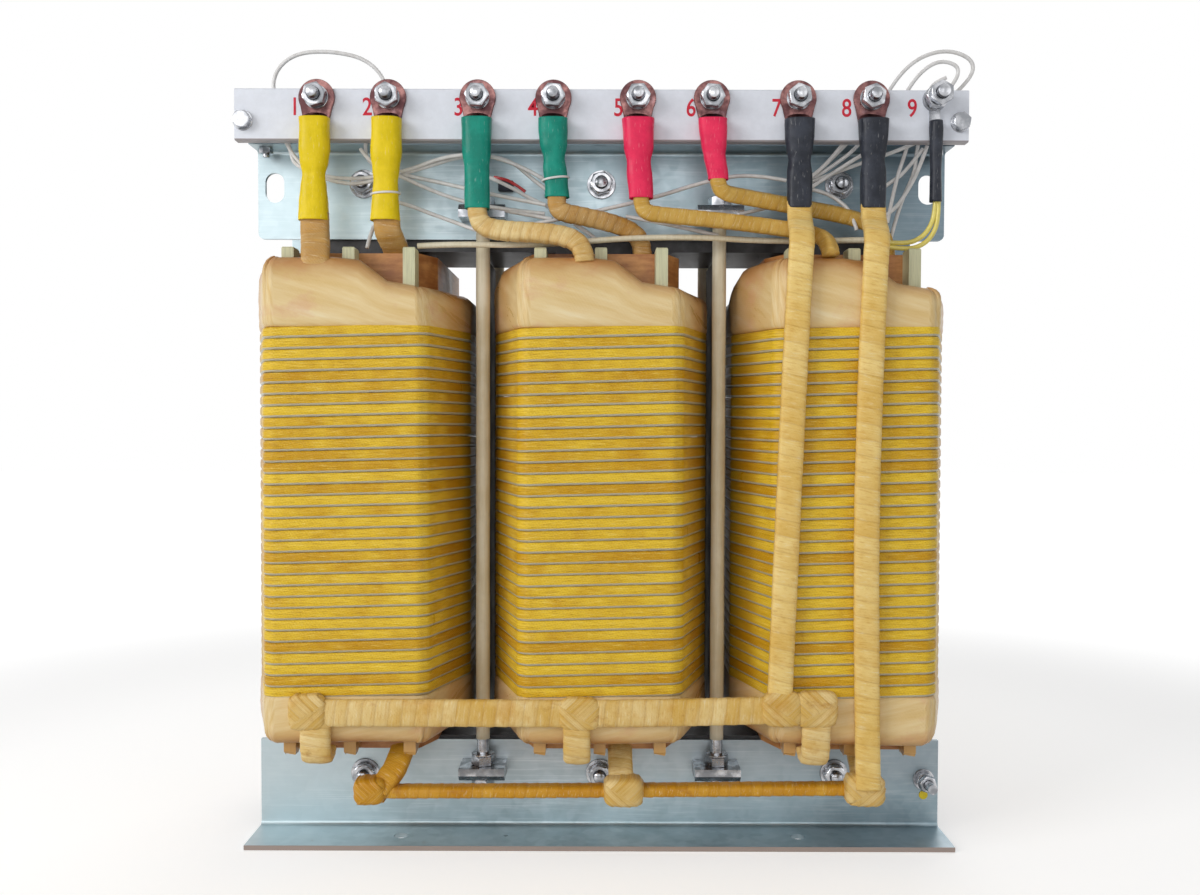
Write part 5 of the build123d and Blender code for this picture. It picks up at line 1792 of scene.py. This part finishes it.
@dataclass
class Terminations(Part):
    """Lugs, shrunk sleeves, their ties, and the terminal numbers."""

    sleeve_y: float = -109.2
    sleeve_top: float = 588.6
    stud_z: float = 607.0
    board_face: float = -100.0
    lug_radius: float = 14.25
    lug_hole: float = 5.25
    neck_low: float = -20.0
    neck_half: float = 9.6
    numeral_size: float = 20.0
    numeral_x: tuple[float, ...] = (-245.5, -187.5, -114.5, -55.0, 13.5, 71.5, 140.0, 196.0, 248.5)

    def sleeve(self, shape: SleeveShape, seed: int) -> Piece:
        """One sleeve, pinched and wrinkled where it shrank.

        Args:
            shape: The sleeve's outline.
            seed: Seed of its wrinkles.

        Returns:
            The closed sleeve.
        """
        dice = random.Random(seed)
        around, levels = 48, 64
        waves = [(dice.uniform(0, 6.28), dice.randint(2, 5), dice.uniform(-9, 9)) for _ in range(5)]
        points: list[Point] = []
        stations = [(0.0, 0.86, -2.2), (0.0, 0.93, -0.1)]
        stations += [(k / levels, 1.0, 0.0) for k in range(levels + 1)]
        stations += [(1.0, 0.96, -0.3), (1.0, 0.86, 1.6)]
        for share, shrink, drop in stations:
            half = between(shape.widths, share) / 2 * shrink
            depth = min(half * shape.depth_share, 8.6) + 0.4
            middle = shape.x + between(shape.lean, share)
            z = self.sleeve_top - share * shape.length + drop
            for k in range(around):
                a = 2 * math.pi * k / around
                wrinkle = sum(0.09 * math.sin(n * a + p + f * share) for p, n, f in waves)
                pinch = 0.5 * math.exp(-((share - 0.56) / 0.1) ** 2) * abs(math.sin(2.5 * a + waves[0][0]))
                r = 1.0 + (wrinkle - pinch) / half
                c, s = math.cos(a), math.sin(a)
                square = (abs(c) ** 2.6 + abs(s) ** 2.6) ** (-1 / 2.6)
                points.append((middle + half * r * square * c, self.sleeve_y + depth * r * square * s, z))
        return skin(shape.name, points, around, self.palette[shape.finish])

    def lug(self) -> Piece:
        """Pattern of one lug: rounded palm, bolt hole and barrel."""
        copper = self.palette["tarnished_copper"]
        ring, low, half, turned = self.lug_radius, self.neck_low, self.neck_half, -0.45
        around = 64
        outer: list[Flat] = []
        for c, s in circle(around, 1.0, 1.0, math.pi / 2):
            share = (turned - s) / (1.0 + turned)
            if share < 0.0:
                outer.append((ring * c, ring * s))
            elif abs(c) < 0.2:
                outer.append((half * c / 0.2, low))
            else:
                wide = ring * 0.893 * (1 - share) + half * share
                outer.append((math.copysign(wide, c), ring * turned + (low - ring * turned) * share))
        hole = circle(around, self.lug_hole, self.lug_hole, math.pi / 2)
        levels = (
            (outer, 0.0, 1.0), (outer, -0.5, 1.015), (outer, -2.5, 1.015), (outer, -3.0, 0.98),
            (hole, -3.0, 1.06), (hole, -2.6, 1.0), (hole, 0.0, 1.0),
        )
        points = [(x * grow, y, z * grow) for shape, y, grow in levels for x, z in shape]
        palm = skin("palm", points, around, copper, False, True, smooth=False)
        stations = (
            (-12.0, 5.0, 0.6, -2.2), (-14.0, 8.6, 1.6, -3.0), (-17.0, 9.8, 4.2, -5.4),
            (-19.5, 10.4, 6.4, -7.6), (-30.0, 10.4, 7.2, -8.4),
        )
        tube = [(x, middle + y, z) for z, a, b, middle in stations for x, y in circle(32, a, b)]
        return joined("lug", [palm, skin("barrel", tube, 32, copper)])

    def number(self, digit: str, x: float) -> Piece:
        """A plain red numeral on the board's face.

        Args:
            digit: The numeral.
            x: Where its middle is.

        Returns:
            The numeral as a thin mesh.
        """
        text = bpy.data.curves.new(f"number_{digit}", "FONT")
        text.body = digit
        text.align_x = "CENTER"
        text.align_y = "CENTER"
        text.size = self.numeral_size * MM
        text.extrude = 0.12 * MM
        text.offset = 0.18 * MM
        flat = made_plain(linked(f"number_{digit}", text))
        flat.data.transform(Matrix.Scale(0.82, 4, (1, 0, 0)))
        flat = moved(facing_front(flat), x, self.board_face - 0.08, self.stud_z - 7.5)
        flat.data.materials.clear()
        flat.data.materials.append(self.palette["red_print"])
        return flat

    def tie(self, name: str, x: float, z: float, half_x: float, half_y: float, tilt: float) -> None:
        """Draw a thin cable tie round a sleeve.

        Args:
            name: The tie's name.
            x: Its middle across the row.
            z: Its height.
            half_x: Half its width.
            half_y: Half its depth.
            tilt: How far one side stands above its middle.
        """
        loop = circle(40, half_x, half_y)
        points = [(x + a, self.sleeve_y + b, z + tilt * a / half_x) for a, b in [*loop, loop[0]]]
        piece = made_plain(spline_curve(name, points, 0.9))
        piece.data.materials.append(self.palette["white_wire"])
        seat(piece, "white_wire")

    def build(self) -> None:
        """Build lugs, sleeves, ties and numbers."""
        places = [(shape.x, self.board_face, self.stud_z) for shape in SLEEVES]
        copper = self.palette["tarnished_copper"]
        lugs = self.repeat.place("lugs", self.lug(), places, copper, turn=1.5, seed=3)
        seat(lugs, "copper_lug", ["terminal_lugs"])
        made = [self.sleeve(shape, 30 + i) for i, shape in enumerate(SLEEVES)]
        for colour, pair in zip(("yellow", "green", "red", "black"), zip(made[::2], made[1::2])):
            sleeves = joined(f"shrunk_sleeves_{colour}", pair)
            seat(sleeves, f"sleeve_{colour}", [f"cable_sleeves_{colour}"])
        self.tie("tie_2", -171.2, 529.0, 11.4, 8.6, 0.6)
        self.tie("tie_4", -36.5, 541.0, 10.4, 8.0, 1.4)
        digits = [self.number(str(i + 1), x) for i, x in enumerate(self.numeral_x)]
        seat(joined("terminal_numbers", digits), "white_board")


@dataclass(frozen=True)
class TapedRun:
    """One taped conductor: its tape, section, uneven wraps and route."""

    name: str
    finish: str
    width: float
    thickness: float
    wrap: float
    ridge: float
    tilt: float
    seed: int
    route: tuple[Point, ...]
    replaced: tuple[str, ...] = ()


def taped_run(run: TapedRun, palette: Palette, across: Vector = Vector((1.0, 0.0, 0.0))) -> Piece:
    """Build a conductor wound with overlapping tape.

    Args:
        run: What it is and where it goes.
        palette: The finishes.
        across: Which way its width lies at its start.

    Returns:
        The closed piece.
    """
    dice = random.Random(run.seed)
    line = evenly(smooth_line(run.route), run.wrap / 7)
    around = 28
    width_way = across.copy()
    total = 0.0
    points: list[Point] = []
    tape: list[Flat] = []
    draws = 200
    jitter = [dice.uniform(-0.3, 0.3) for _ in range(draws)]
    swell = [dice.uniform(-0.12, 0.12) for _ in range(draws)]
    for i, here in enumerate(line):
        ahead = line[min(i + 1, len(line) - 1)] - line[max(i - 1, 0)]
        ahead.normalize()
        width_way = (width_way - ahead * width_way.dot(ahead)).normalized()
        thick_way = ahead.cross(width_way).normalized()
        if i:
            total += (here - line[i - 1]).length
        for k, (c, s) in enumerate(circle(around, 1.0, 1.0)):
            square = (abs(c) ** 3.4 + abs(s) ** 3.4) ** (-1 / 3.4)
            wraps = total / run.wrap + run.tilt * k / around
            turn = int(wraps) % draws
            part = wraps - math.floor(wraps) + 0.15 * jitter[turn]
            lift = run.ridge * (part if part < 0.88 else max(0.0, (1.0 - part) / 0.12)) + swell[turn]
            half_w = run.width / 2 - run.ridge * 0.6 + lift * 0.8
            half_t = run.thickness / 2 - run.ridge * 0.6 + lift
            place = here + width_way * (half_w * square * c) + thick_way * (half_t * square * s)
            points.append(tuple(place))
            tape.append((wraps, k / around))
    return skin(run.name, points, around, palette[run.finish], tape=tape, merged=False)


def knot(
    name: str, middle: Point, size: Point, palette: Palette, finish: str, seed: int, lead: float = 1.0
) -> Piece:
    """A joint wrapped crosswise with tape.

    Args:
        name: The piece's name.
        middle: Its middle.
        size: Its size along each axis.
        palette: The finishes.
        finish: Its finish.
        seed: Seed of its uneven wraps.
        lead: Which way the last wrap leans, 1 or -1.

    Returns:
        The closed piece.
    """
    dice = random.Random(seed)
    bench = bmesh.new()
    bmesh.ops.create_cube(bench, size=2.0)
    bmesh.ops.subdivide_edges(bench, edges=bench.edges, cuts=26, use_grid_fill=True)
    layer = bench.loops.layers.uv.new("Tape")
    draws = 40
    waver = [dice.uniform(-0.4, 0.5) for _ in range(draws)]
    wraps_at: dict[int, Flat] = {}
    for vert in bench.verts:
        p = vert.co.copy()
        p /= (abs(p.x) ** 4 + abs(p.y) ** 4 + abs(p.z) ** 4) ** 0.25
        x, y, z = p.x * size[0] / 2, p.y * size[1] / 2, p.z * size[2] / 2
        over = (x * lead + z * 1.1) / 7.5 + 20.0
        under = (x * -lead + z * 1.1) / 6.5 + 20.0
        top = (x * -lead * 0.6 + z) > dice.uniform(-0.2, 0.2) - 2.0
        wraps = over if top else under
        part = wraps % 1.0
        lift = 0.9 * part + waver[int(wraps) % draws]
        grow = 1.0 + lift / max(size[0], size[2]) * 1.6
        vert.co = Vector((middle[0] + x * grow, middle[1] + y * (grow + 0.02), middle[2] + z * grow))
        wraps_at[vert.index] = (wraps + (0.0 if top else 40.0), 0.5)
    for face in bench.faces:
        face.smooth = True
        for loop in face.loops:
            loop[layer].uv = wraps_at[loop.vert.index]
    bmesh.ops.recalc_face_normals(bench, faces=bench.faces)
    bmesh.ops.scale(bench, vec=(MM, MM, MM), verts=bench.verts)
    return from_bench(name, bench, palette[finish])


@dataclass
class TapedWork(Part):
    """Leads from the sleeves, risers, and the two star bars with their knots."""

    upper_y: float = -134.6
    lower_y: float = -118
    leads: tuple[TapedRun, ...] = (
        TapedRun(
            "lead_1", "brown_tape", 22.6, 11, 11, 0.28, 1, 4,
            (
                (-227.5, -109.2, 514), (-227.5, -109.2, 501), (-226, -113, 492), (-224, -121, 485),
                (-224, -121.75, 470),
            ),
            ("lead_outer_left",),
        ),
        TapedRun(
            "lead_2", "brown_tape", 21, 10.5, 11, 0.28, 1, 5,
            (
                (-170.5, -109.2, 514), (-170.5, -109.2, 501), (-168, -100, 494), (-166, -86, 486),
                (-166, -84.5, 472),
            ),
            ("lead_inner_left",),
        ),
        TapedRun(
            "lead_3", "cream_tape", 15.6, 13.5, 8, 0.6, 1, 6,
            (
                (-98.6, -109.2, 524), (-99, -109.4, 512), (-93, -111.5, 502.5), (-76, -114, 499),
                (-48, -117, 497.5), (-26, -120.5, 494), (-14, -121.75, 486), (-13, -121.75, 474),
            ),
            ("lead_outer_middle",),
        ),
        TapedRun(
            "lead_4", "brown_tape", 15, 13, 8, 0.6, 1, 7,
            (
                (-35.2, -109.2, 533), (-36, -109.2, 521), (-32, -108.5, 515), (-16, -104, 513),
                (14, -94, 508), (29, -88, 501), (34, -85, 490), (34, -84.5, 476),
            ),
            ("lead_inner_middle",),
        ),
        TapedRun(
            "lead_5", "gold_tape", 12.6, 12, 7.5, 0.28, 1, 8,
            (
                (31.2, -109.2, 533), (31.2, -109.2, 521), (36, -109, 514.5), (52, -107.5, 513),
                (100, -103, 509.5), (150, -98.5, 504), (171, -103, 499), (179, -116, 492),
                (180, -121.75, 480),
            ),
            ("lead_outer_right",),
        ),
        TapedRun(
            "lead_6", "gold_tape", 12.6, 12, 7.5, 0.28, 1, 9,
            (
                (92.2, -109.2, 542), (92.4, -109.2, 537), (97, -107.5, 531), (112, -101, 529.5),
                (156, -92, 523.5), (206, -89.5, 515), (227, -87.5, 505), (234, -85, 492),
                (234, -84.5, 478),
            ),
            ("lead_inner_right",),
        ),
        TapedRun(
            "riser_outer", "riser_tape", 19.6, 9.4, 12.5, 0.28, 0.9, 10,
            (
                (157, -109.2, 524), (157, -111, 510), (155.6, -133, 494), (154, -134.9, 474),
                (150.5, -134.9, 400), (145, -134.9, 260), (140, -134.9, 124),
            ),
            ("neutral_riser_outer",),
        ),
        TapedRun(
            "riser_inner", "riser_tape", 19.6, 9.4, 12.5, 0.28, 0.9, 11,
            (
                (215.5, -109.2, 524), (215.5, -111, 510), (213.6, -133, 494), (212, -134.9, 474),
                (208.5, -134.9, 380), (206, -134.9, 230), (210, -134.2, 62),
            ),
            ("neutral_riser_inner",),
        ),
    )

    def upper_bar(self) -> Piece:
        """Star bar of the outer coils, with knots and turned-in tails."""
        y = self.upper_y
        runs = [
            TapedRun(
                "bar_a", "bar_tape", 21.5, 9.2, 10.5, 0.5, 0.8, 14,
                ((-236, y, 121), (-100, y, 121.6), (20, y, 120.6), (142, y, 124.5)),
            ),
            TapedRun(
                "tail_a", "bar_tape", 24, 9.2, 7.5, 0.6, 1.4, 15,
                (
                    (-222, y, 116), (-222.5, y, 100), (-222, y + 2, 86), (-222, y + 10, 82),
                    (-222, y + 19, 88),
                ),
            ),
            TapedRun(
                "tail_b", "bar_tape", 21.5, 9.2, 7.5, 0.6, 1.4, 16,
                ((-18, y, 116), (-18, y, 100), (-18, y + 2, 86), (-18, y + 10, 82), (-18, y + 19, 88)),
            ),
            TapedRun(
                "tail_c", "bar_tape", 22.5, 9.2, 7.5, 0.6, 1.4, 17,
                ((169, y, 122), (169, y, 100), (168.5, y + 2, 86), (168, y + 10, 82), (168, y + 19, 88)),
            ),
        ]
        ways = [Vector((0, 0, 1)), Vector((1, 0, 0)), Vector((1, 0, 0)), Vector((1, 0, 0))]
        pieces = [taped_run(run, self.palette, way) for run, way in zip(runs, ways)]
        pieces += [
            knot("knot_a", (-228, y - 0.4, 122), (29, 12.5, 27.5), self.palette, "bar_tape", 5, 1),
            knot("knot_b", (-16, y - 0.2, 121), (32, 11.6, 25), self.palette, "bar_tape", 6, -1),
            knot("knot_c", (142, y - 0.6, 125.5), (31, 13, 26.5), self.palette, "bar_tape", 7, -1),
            knot("knot_d", (169, y - 0.4, 125.5), (32, 12.6, 28), self.palette, "bar_tape", 8, 1),
        ]
        return joined("taped_star_bar_upper", pieces)

    def lower_bar(self) -> Piece:
        """Star bar of the inner coils, with the leads that rise to them."""
        y = self.lower_y
        runs = [
            TapedRun(
                "under_bar", "amber_tape", 16.5, 9.4, 8.5, 0.45, 0.5, 24,
                ((-184, y, 54), (-90, y, 54.6), (40, y, 55.6), (150, y, 57), (214, y, 57.5)),
            ),
            TapedRun(
                "riser_a", "amber_tape", 20, 9.6, 8, 0.28, 1.2, 25,
                ((-176, -122, 56), (-166, -114, 66), (-162, -101, 77), (-160, -90, 84.5)),
            ),
            TapedRun(
                "riser_b", "bar_tape", 20, 9.6, 8, 0.28, 1.2, 26,
                ((18, -122, 57), (17, -114, 66), (16.5, -101, 77), (16.5, -90, 84.5)),
            ),
            TapedRun(
                "riser_c", "bar_tape", 20, 9.6, 8, 0.28, 1.2, 27,
                ((211, -122, 58), (211, -114, 67), (211, -101, 77), (211, -90, 84.5)),
            ),
        ]
        ways = [Vector((0, 1, 0)), Vector((1, 0, 0.2)), Vector((1, 0, 0)), Vector((1, 0, 0))]
        pieces = [taped_run(run, self.palette, way.normalized()) for run, way in zip(runs, ways)]
        pieces += [
            knot("knot_e", (-182, y - 1, 55.5), (25, 22, 20), self.palette, "amber_tape", 9, 1),
            knot("knot_f", (19, y - 3, 56.5), (31, 24, 22.5), self.palette, "bar_tape", 10, -1),
            knot("knot_g", (209, y - 8, 60), (30, 19, 25), self.palette, "bar_tape", 11, 1),
        ]
        return joined("taped_star_bar_lower", pieces)

    def build(self) -> None:
        """Build every taped conductor."""
        for run in self.leads:
            seat(taped_run(run, self.palette), "varnished_tape", run.replaced)
        seat(self.upper_bar(), "varnished_tape", ["star_bar_upper"])
        seat(self.lower_bar(), "varnished_tape", ["star_bar_lower"])


@dataclass(frozen=True)
class WireRun:
    """One thin wire: its route, size and colour."""

    name: str
    route: tuple[Point, ...]
    radius: float = 1.6
    finish: str = "white_wire"
    slot: str = "white_wire"
    replaced: tuple[str, ...] = ()


SENSOR_ROUTES: tuple[tuple[Point, ...], ...] = (
    (
        (-46, -88, 545), (-75, -90, 562), (-120, -90.5, 566), (-165, -88, 549), (-215, -82, 545),
        (-250, -83, 556), (-254, -82, 568), (-258, -82, 586), (-264, -79, 602), (-272, -75, 630),
        (-255, -75, 650), (-222, -75.5, 652.5), (-190, -75, 645), (-174, -74, 622), (-182, -78, 602),
        (-190, -82, 587), (-194, -82, 568), (-187, -85, 557), (-165, -85, 550), (-130, -85, 543),
        (-90, -89, 533), (-45, -92, 524),
    ),
    (
        (238, -78, 500), (246, -76, 530), (256, -82, 552), (257, -82, 568), (261, -82, 587),
        (270, -77, 603), (290, -74, 618), (306, -75, 636), (303, -76, 648), (282, -76, 655),
        (257, -76, 647), (238, -74, 626), (226, -78, 600), (212, -85, 577), (196, -85, 562),
        (170, -82, 546),
    ),
    (
        (234, -82, 512), (240, -84, 546), (248, -82, 568), (253, -82, 587), (264, -81, 603),
        (284, -80, 620), (294, -81, 638), (278, -81, 645), (262, -81, 637), (248, -80, 618),
        (240, -81.5, 597), (228, -85.5, 575), (204, -87, 562), (168, -88, 538),
    ),
    (
        (-72, -93, 505), (-36, -92, 512), (8, -95, 521.2), (46, -86, 532), (88, -89, 545),
        (122, -90, 550), (150, -88, 545),
    ),
    (
        (-266, -80, 604), (-262, -83, 585), (-250, -85, 562), (-232, -84, 548), (-205, -83, 541),
        (-180, -84, 546), (-150, -86, 553), (-110, -86, 566), (-75, -84, 563), (-55, -84, 545),
        (-44, -86, 537),
    ),
    (
        (-196, -86, 570), (-186, -88, 556), (-166, -88, 549), (-140, -86, 537), (-110, -84, 527),
        (-80, -84, 522), (-46, -86, 518),
    ),
    ((-168, -88, 527), (-158, -88, 525), (-140, -87, 518), (-112, -88, 508), (-100, -92, 503)),
    ((-185, -86, 508), (-188, -88, 500), (-190, -90, 489)),
    ((-92, -78, 549), (-75, -82, 541), (-58, -86, 530), (-42, -88, 523)),
    ((-92, -80, 524), (-70, -84, 519), (-40, -90, 513)),
    ((20, -86, 516), (48, -88, 511), (95, -90, 500)),
    ((-22, -84, 510), (-12, -86, 504), (-4, -88, 497)),
    ((112, -84, 518), (124, -84, 521), (136, -84, 524)),
    ((202, -86, 578), (190, -86, 566), (180, -84, 556), (166, -82, 545)),
    ((198, -88, 577), (186, -88, 562), (172, -86, 549), (165, -86, 543)),
    ((166, -84, 543), (182, -83, 549), (208, -83, 559), (236, -84, 568), (255, -85, 576)),
    ((229, -80, 540), (238, -80, 546), (248, -82, 553), (262, -84, 572)),
    ((229, -82, 516), (238, -82, 521), (247, -84, 533), (258, -85, 553), (265, -85, 574)),
    ((168, -86, 539), (180, -88, 536), (192, -90, 529), (202, -93, 519), (206, -95, 504)),
    ((262, -82, 604), (268, -78, 621), (274, -77, 628), (282, -79, 631)),
)


@dataclass
class Wiring(Part):
    """Sensor wires, the shield wire and the earth wires."""

    clamp_face: float = -54.0
    mark_radius: float = 3.75
    coloured: tuple[WireRun, ...] = (
        WireRun(
            "sensor_lead",
            (
                (-88, -78, 549), (-79, -82, 547), (-70, -84, 542), (-62, -85, 536),
            ),
            1.3, "red_wire", "sleeve_red",
        ),
        WireRun(
            "shield_sleeve",
            (
                (-148, -96, 490), (-118, -97, 491.5), (-75, -98, 490.5), (-30, -98.5, 492),
                (20, -98.5, 496.5), (80, -95, 498), (125, -87, 496.5), (170, -90, 495.5),
                (215, -97, 496), (232, -99, 494.5),
            ),
            2.4, "cream_sleeving", "cream_sleeving", ("shield_wires",),
        ),
        WireRun(
            "earth_wire_a",
            (
                (266, -106, 532), (266, -106.2, 522), (264, -106, 508), (257, -104, 497),
                (244, -101.5, 491.5), (226, -98.6, 494),
            ),
            1.9, "yellow_wire", "sleeve_yellow",
        ),
        WireRun(
            "earth_wire_b",
            (
                (268.4, -106, 532), (268.6, -106, 520), (267, -106, 503), (259, -104, 491.5),
                (245, -101.5, 487), (228, -98.6, 490.5),
            ),
            1.9, "yellow_wire", "sleeve_yellow",
        ),
    )

    def earth_sleeve(self) -> Piece:
        """Thin black sleeve under the earth terminal."""
        low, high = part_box("earth_sleeve")
        low, high = low / MM, high / MM
        x, y = (low.x + high.x) / 2, (low.y + high.y) / 2
        around, levels = 28, 40
        points: list[Point] = []
        widths = ((0.0, 5.2), (0.1, 5.5), (0.35, 5.0), (0.6, 4.4), (0.85, 4.7), (1.0, 4.9))
        for level in range(levels + 1):
            share = level / levels
            z = high.z - share * (high.z - low.z)
            for k, (c, s) in enumerate(circle(around, 1.0, 1.0)):
                ripple = math.sin(6 * math.pi * k / around + 9 * share)
                r = between(widths, share) * (1.0 + 0.02 * ripple)
                points.append((x + r * c, y + r * s, z))
        return skin("earth_terminal_sleeve", points, around, self.palette["sleeve_black"])

    def sensor(self) -> Piece:
        """Small black sensor block with rounded edges."""
        low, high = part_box("temperature_sensor")
        bench = bmesh.new()
        bmesh.ops.create_cube(bench, size=1.0)
        bmesh.ops.scale(bench, vec=high - low, verts=bench.verts)
        bmesh.ops.translate(bench, vec=(low + high) / 2, verts=bench.verts)
        bmesh.ops.bevel(bench, geom=bench.edges[:], offset=0.0008, segments=3, affect="EDGES")
        return from_bench("sensor_block", bench, self.palette["sleeve_black"])

    def earth_mark(self) -> Piece:
        """Plain yellow disc on the lower clamp."""
        low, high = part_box("earth_mark")
        middle = (low + high) / 2 / MM
        pin, edge = 0.02, self.mark_radius
        profile = ((pin, 0.0), (edge, 0.0), (edge, 0.45), (edge - 0.35, 0.55), (pin, 0.5))
        points = [
            (middle.x + x, self.clamp_face - lift, middle.z + z)
            for radius, lift in profile
            for x, z in circle(40, radius, radius)
        ]
        return skin("earth_disc", points, 40, self.palette["yellow_mark"])

    def build(self) -> None:
        """Build every wire and the small pieces on them."""
        runs: list[WireRun] = []
        for letter, route in zip("abcdefghijklmnopqrst", SENSOR_ROUTES):
            replaced = ("sensor_wires",) if letter == "a" else ()
            runs.append(WireRun(f"sensor_wire_{letter}", route, replaced=replaced))
        for run in [*runs, *self.coloured]:
            wire = spline_curve(run.name, run.route, run.radius)
            wire.data.materials.append(self.palette[run.finish])
            seat(wire, run.slot, run.replaced)
        seat(self.earth_sleeve(), "sleeve_black", ["earth_sleeve"])
        seat(self.sensor(), "sleeve_black", ["temperature_sensor"])
        seat(self.earth_mark(), "sleeve_yellow", ["earth_mark"])


@dataclass
class Studio:
    """Floor, lights, sky and camera."""

    lens: float = 33.585
    camera_place: Point = (-0.5, -1002.6, 352.6)
    pitch: float = 1.56
    roll: float = 0.17
    floor_reach: float = 6000.0
    sky_light: float = 0.3
    aim: Point = (0.0, 0.0, 0.32)
    lamps: tuple[tuple[str, Point, float, float], ...] = (
        ("key", (-2.1, -1.7, 1.3), 1.3, 34.0),
        ("fill", (1.9, -1.6, 0.9), 1.6, 4.0),
        ("front", (-0.4, -2.6, 0.7), 1.8, 11.0),
        ("back", (0.6, 2.2, 1.8), 1.6, 14.0),
    )

    def camera(self) -> None:
        """Set the camera at the viewing angle."""
        data = bpy.data.cameras.new("view")
        data.lens = self.lens
        data.sensor_width = 36.0
        data.clip_start = 0.05
        camera = linked("view", data)
        camera.location = [MM * c for c in self.camera_place]
        turn = Euler((math.radians(90.0 - self.pitch), 0.0, 0.0)).to_matrix().to_4x4()
        camera.rotation_euler = (turn @ Matrix.Rotation(math.radians(self.roll), 4, "Z")).to_euler()
        bpy.context.scene.camera = camera

    def lamp(self, name: str, place: Point, size: float, power: float) -> None:
        """Add one soft square lamp that faces the aim.

        Args:
            name: The lamp's name.
            place: Where it stands, in metres.
            size: Its width in metres.
            power: Its power in watts.
        """
        data = bpy.data.lights.new(name, "AREA")
        data.size = size
        data.energy = power
        lamp = linked(name, data)
        lamp.location = place
        lamp.rotation_euler = (Vector(self.aim) - Vector(place)).to_track_quat("-Z", "Y").to_euler()

    @staticmethod
    def watched(nodes: Nodes) -> Socket:
        """1 for rays that show the studio itself: straight, mirrored or through glass."""
        path = nodes.add("ShaderNodeLightPath")
        mirrored = nodes.math("MAXIMUM", path.outputs["Is Glossy Ray"], path.outputs["Is Transmission Ray"])
        return nodes.math("MAXIMUM", path.outputs["Is Camera Ray"], mirrored)

    def floor(self) -> None:
        """Pale floor that keeps the shadow close by and turns plain white further out."""
        far = self.floor_reach
        corners = [(-far, -far, -0.2), (far, -far, -0.2), (far, far, -0.2), (-far, far, -0.2)]
        material = bpy.data.materials.new("floor")
        material.use_nodes = True
        nodes = Nodes(material.node_tree)
        seen = self.watched(nodes)
        place = nodes.add("ShaderNodeTexCoord").outputs["Object"]
        away = nodes.add("ShaderNodeVectorMath", operation="LENGTH")
        nodes.wire(place, away.inputs[0])
        beyond = nodes.span(away.outputs["Value"], 0.55, 1.5)
        shader = nodes.add("ShaderNodeBsdfPrincipled")
        shader.inputs["Roughness"].default_value = 0.8
        shader.inputs["Specular IOR Level"].default_value = 0.1
        nodes.wire(
            nodes.blend(nodes.times(beyond, seen), (0.86, 0.86, 0.86), (0.0, 0.0, 0.0)),
            shader.inputs["Base Color"],
        )
        glow = nodes.add("ShaderNodeEmission")
        nodes.wire(nodes.times(seen, nodes.span(beyond, 0.0, 1.0, 0.45, 1.0)), glow.inputs["Strength"])
        both = nodes.add("ShaderNodeAddShader")
        nodes.wire(shader.outputs[0], both.inputs[0])
        nodes.wire(glow.outputs[0], both.inputs[1])
        output = nodes.add("ShaderNodeOutputMaterial")
        nodes.wire(both.outputs[0], output.inputs["Surface"])
        mesh_piece("floor", corners, [(0, 1, 2, 3)], material, False)

    def sky(self) -> None:
        """White sky to look at and in reflections, dimmer as a light."""
        world = bpy.data.worlds.new("sky")
        world.use_nodes = True
        bpy.context.scene.world = world
        nodes = Nodes(world.node_tree)
        back = nodes.add("ShaderNodeBackground")
        back.inputs["Color"].default_value = (1.0, 1.0, 1.0, 1.0)
        nodes.wire(nodes.span(self.watched(nodes), 0.0, 1.0, self.sky_light, 1.0), back.inputs["Strength"])
        output = nodes.add("ShaderNodeOutputWorld")
        nodes.wire(back.outputs[0], output.inputs["Surface"])

    def build(self) -> None:
        """Set up the whole studio."""
        bpy.context.scene.view_settings.view_transform = "Standard"
        self.floor()
        self.sky()
        self.camera()
        for lamp in self.lamps:
            self.lamp(*lamp)


def main() -> None:
    """Build every sub-assembly in order, then the studio."""
    logging.basicConfig(level=logging.INFO, format="%(message)s")
    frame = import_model()
    palette = Palette()
    repeat = RepeatTree()
    Ironwork(palette, repeat).build(frame["nodes"])
    for part in (Coils, Fixings, Terminations, TapedWork, Wiring):
        part(palette, repeat).build()
    Studio().build()
    write_size()


def write_size() -> None:
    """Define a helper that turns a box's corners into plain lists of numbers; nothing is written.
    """
    def plain(box: Iterable[Iterable[float]]) -> list[list[float]]:
        return [[float(c) for c in corner] for corner in box]


if __name__ == "__main__":
    main()
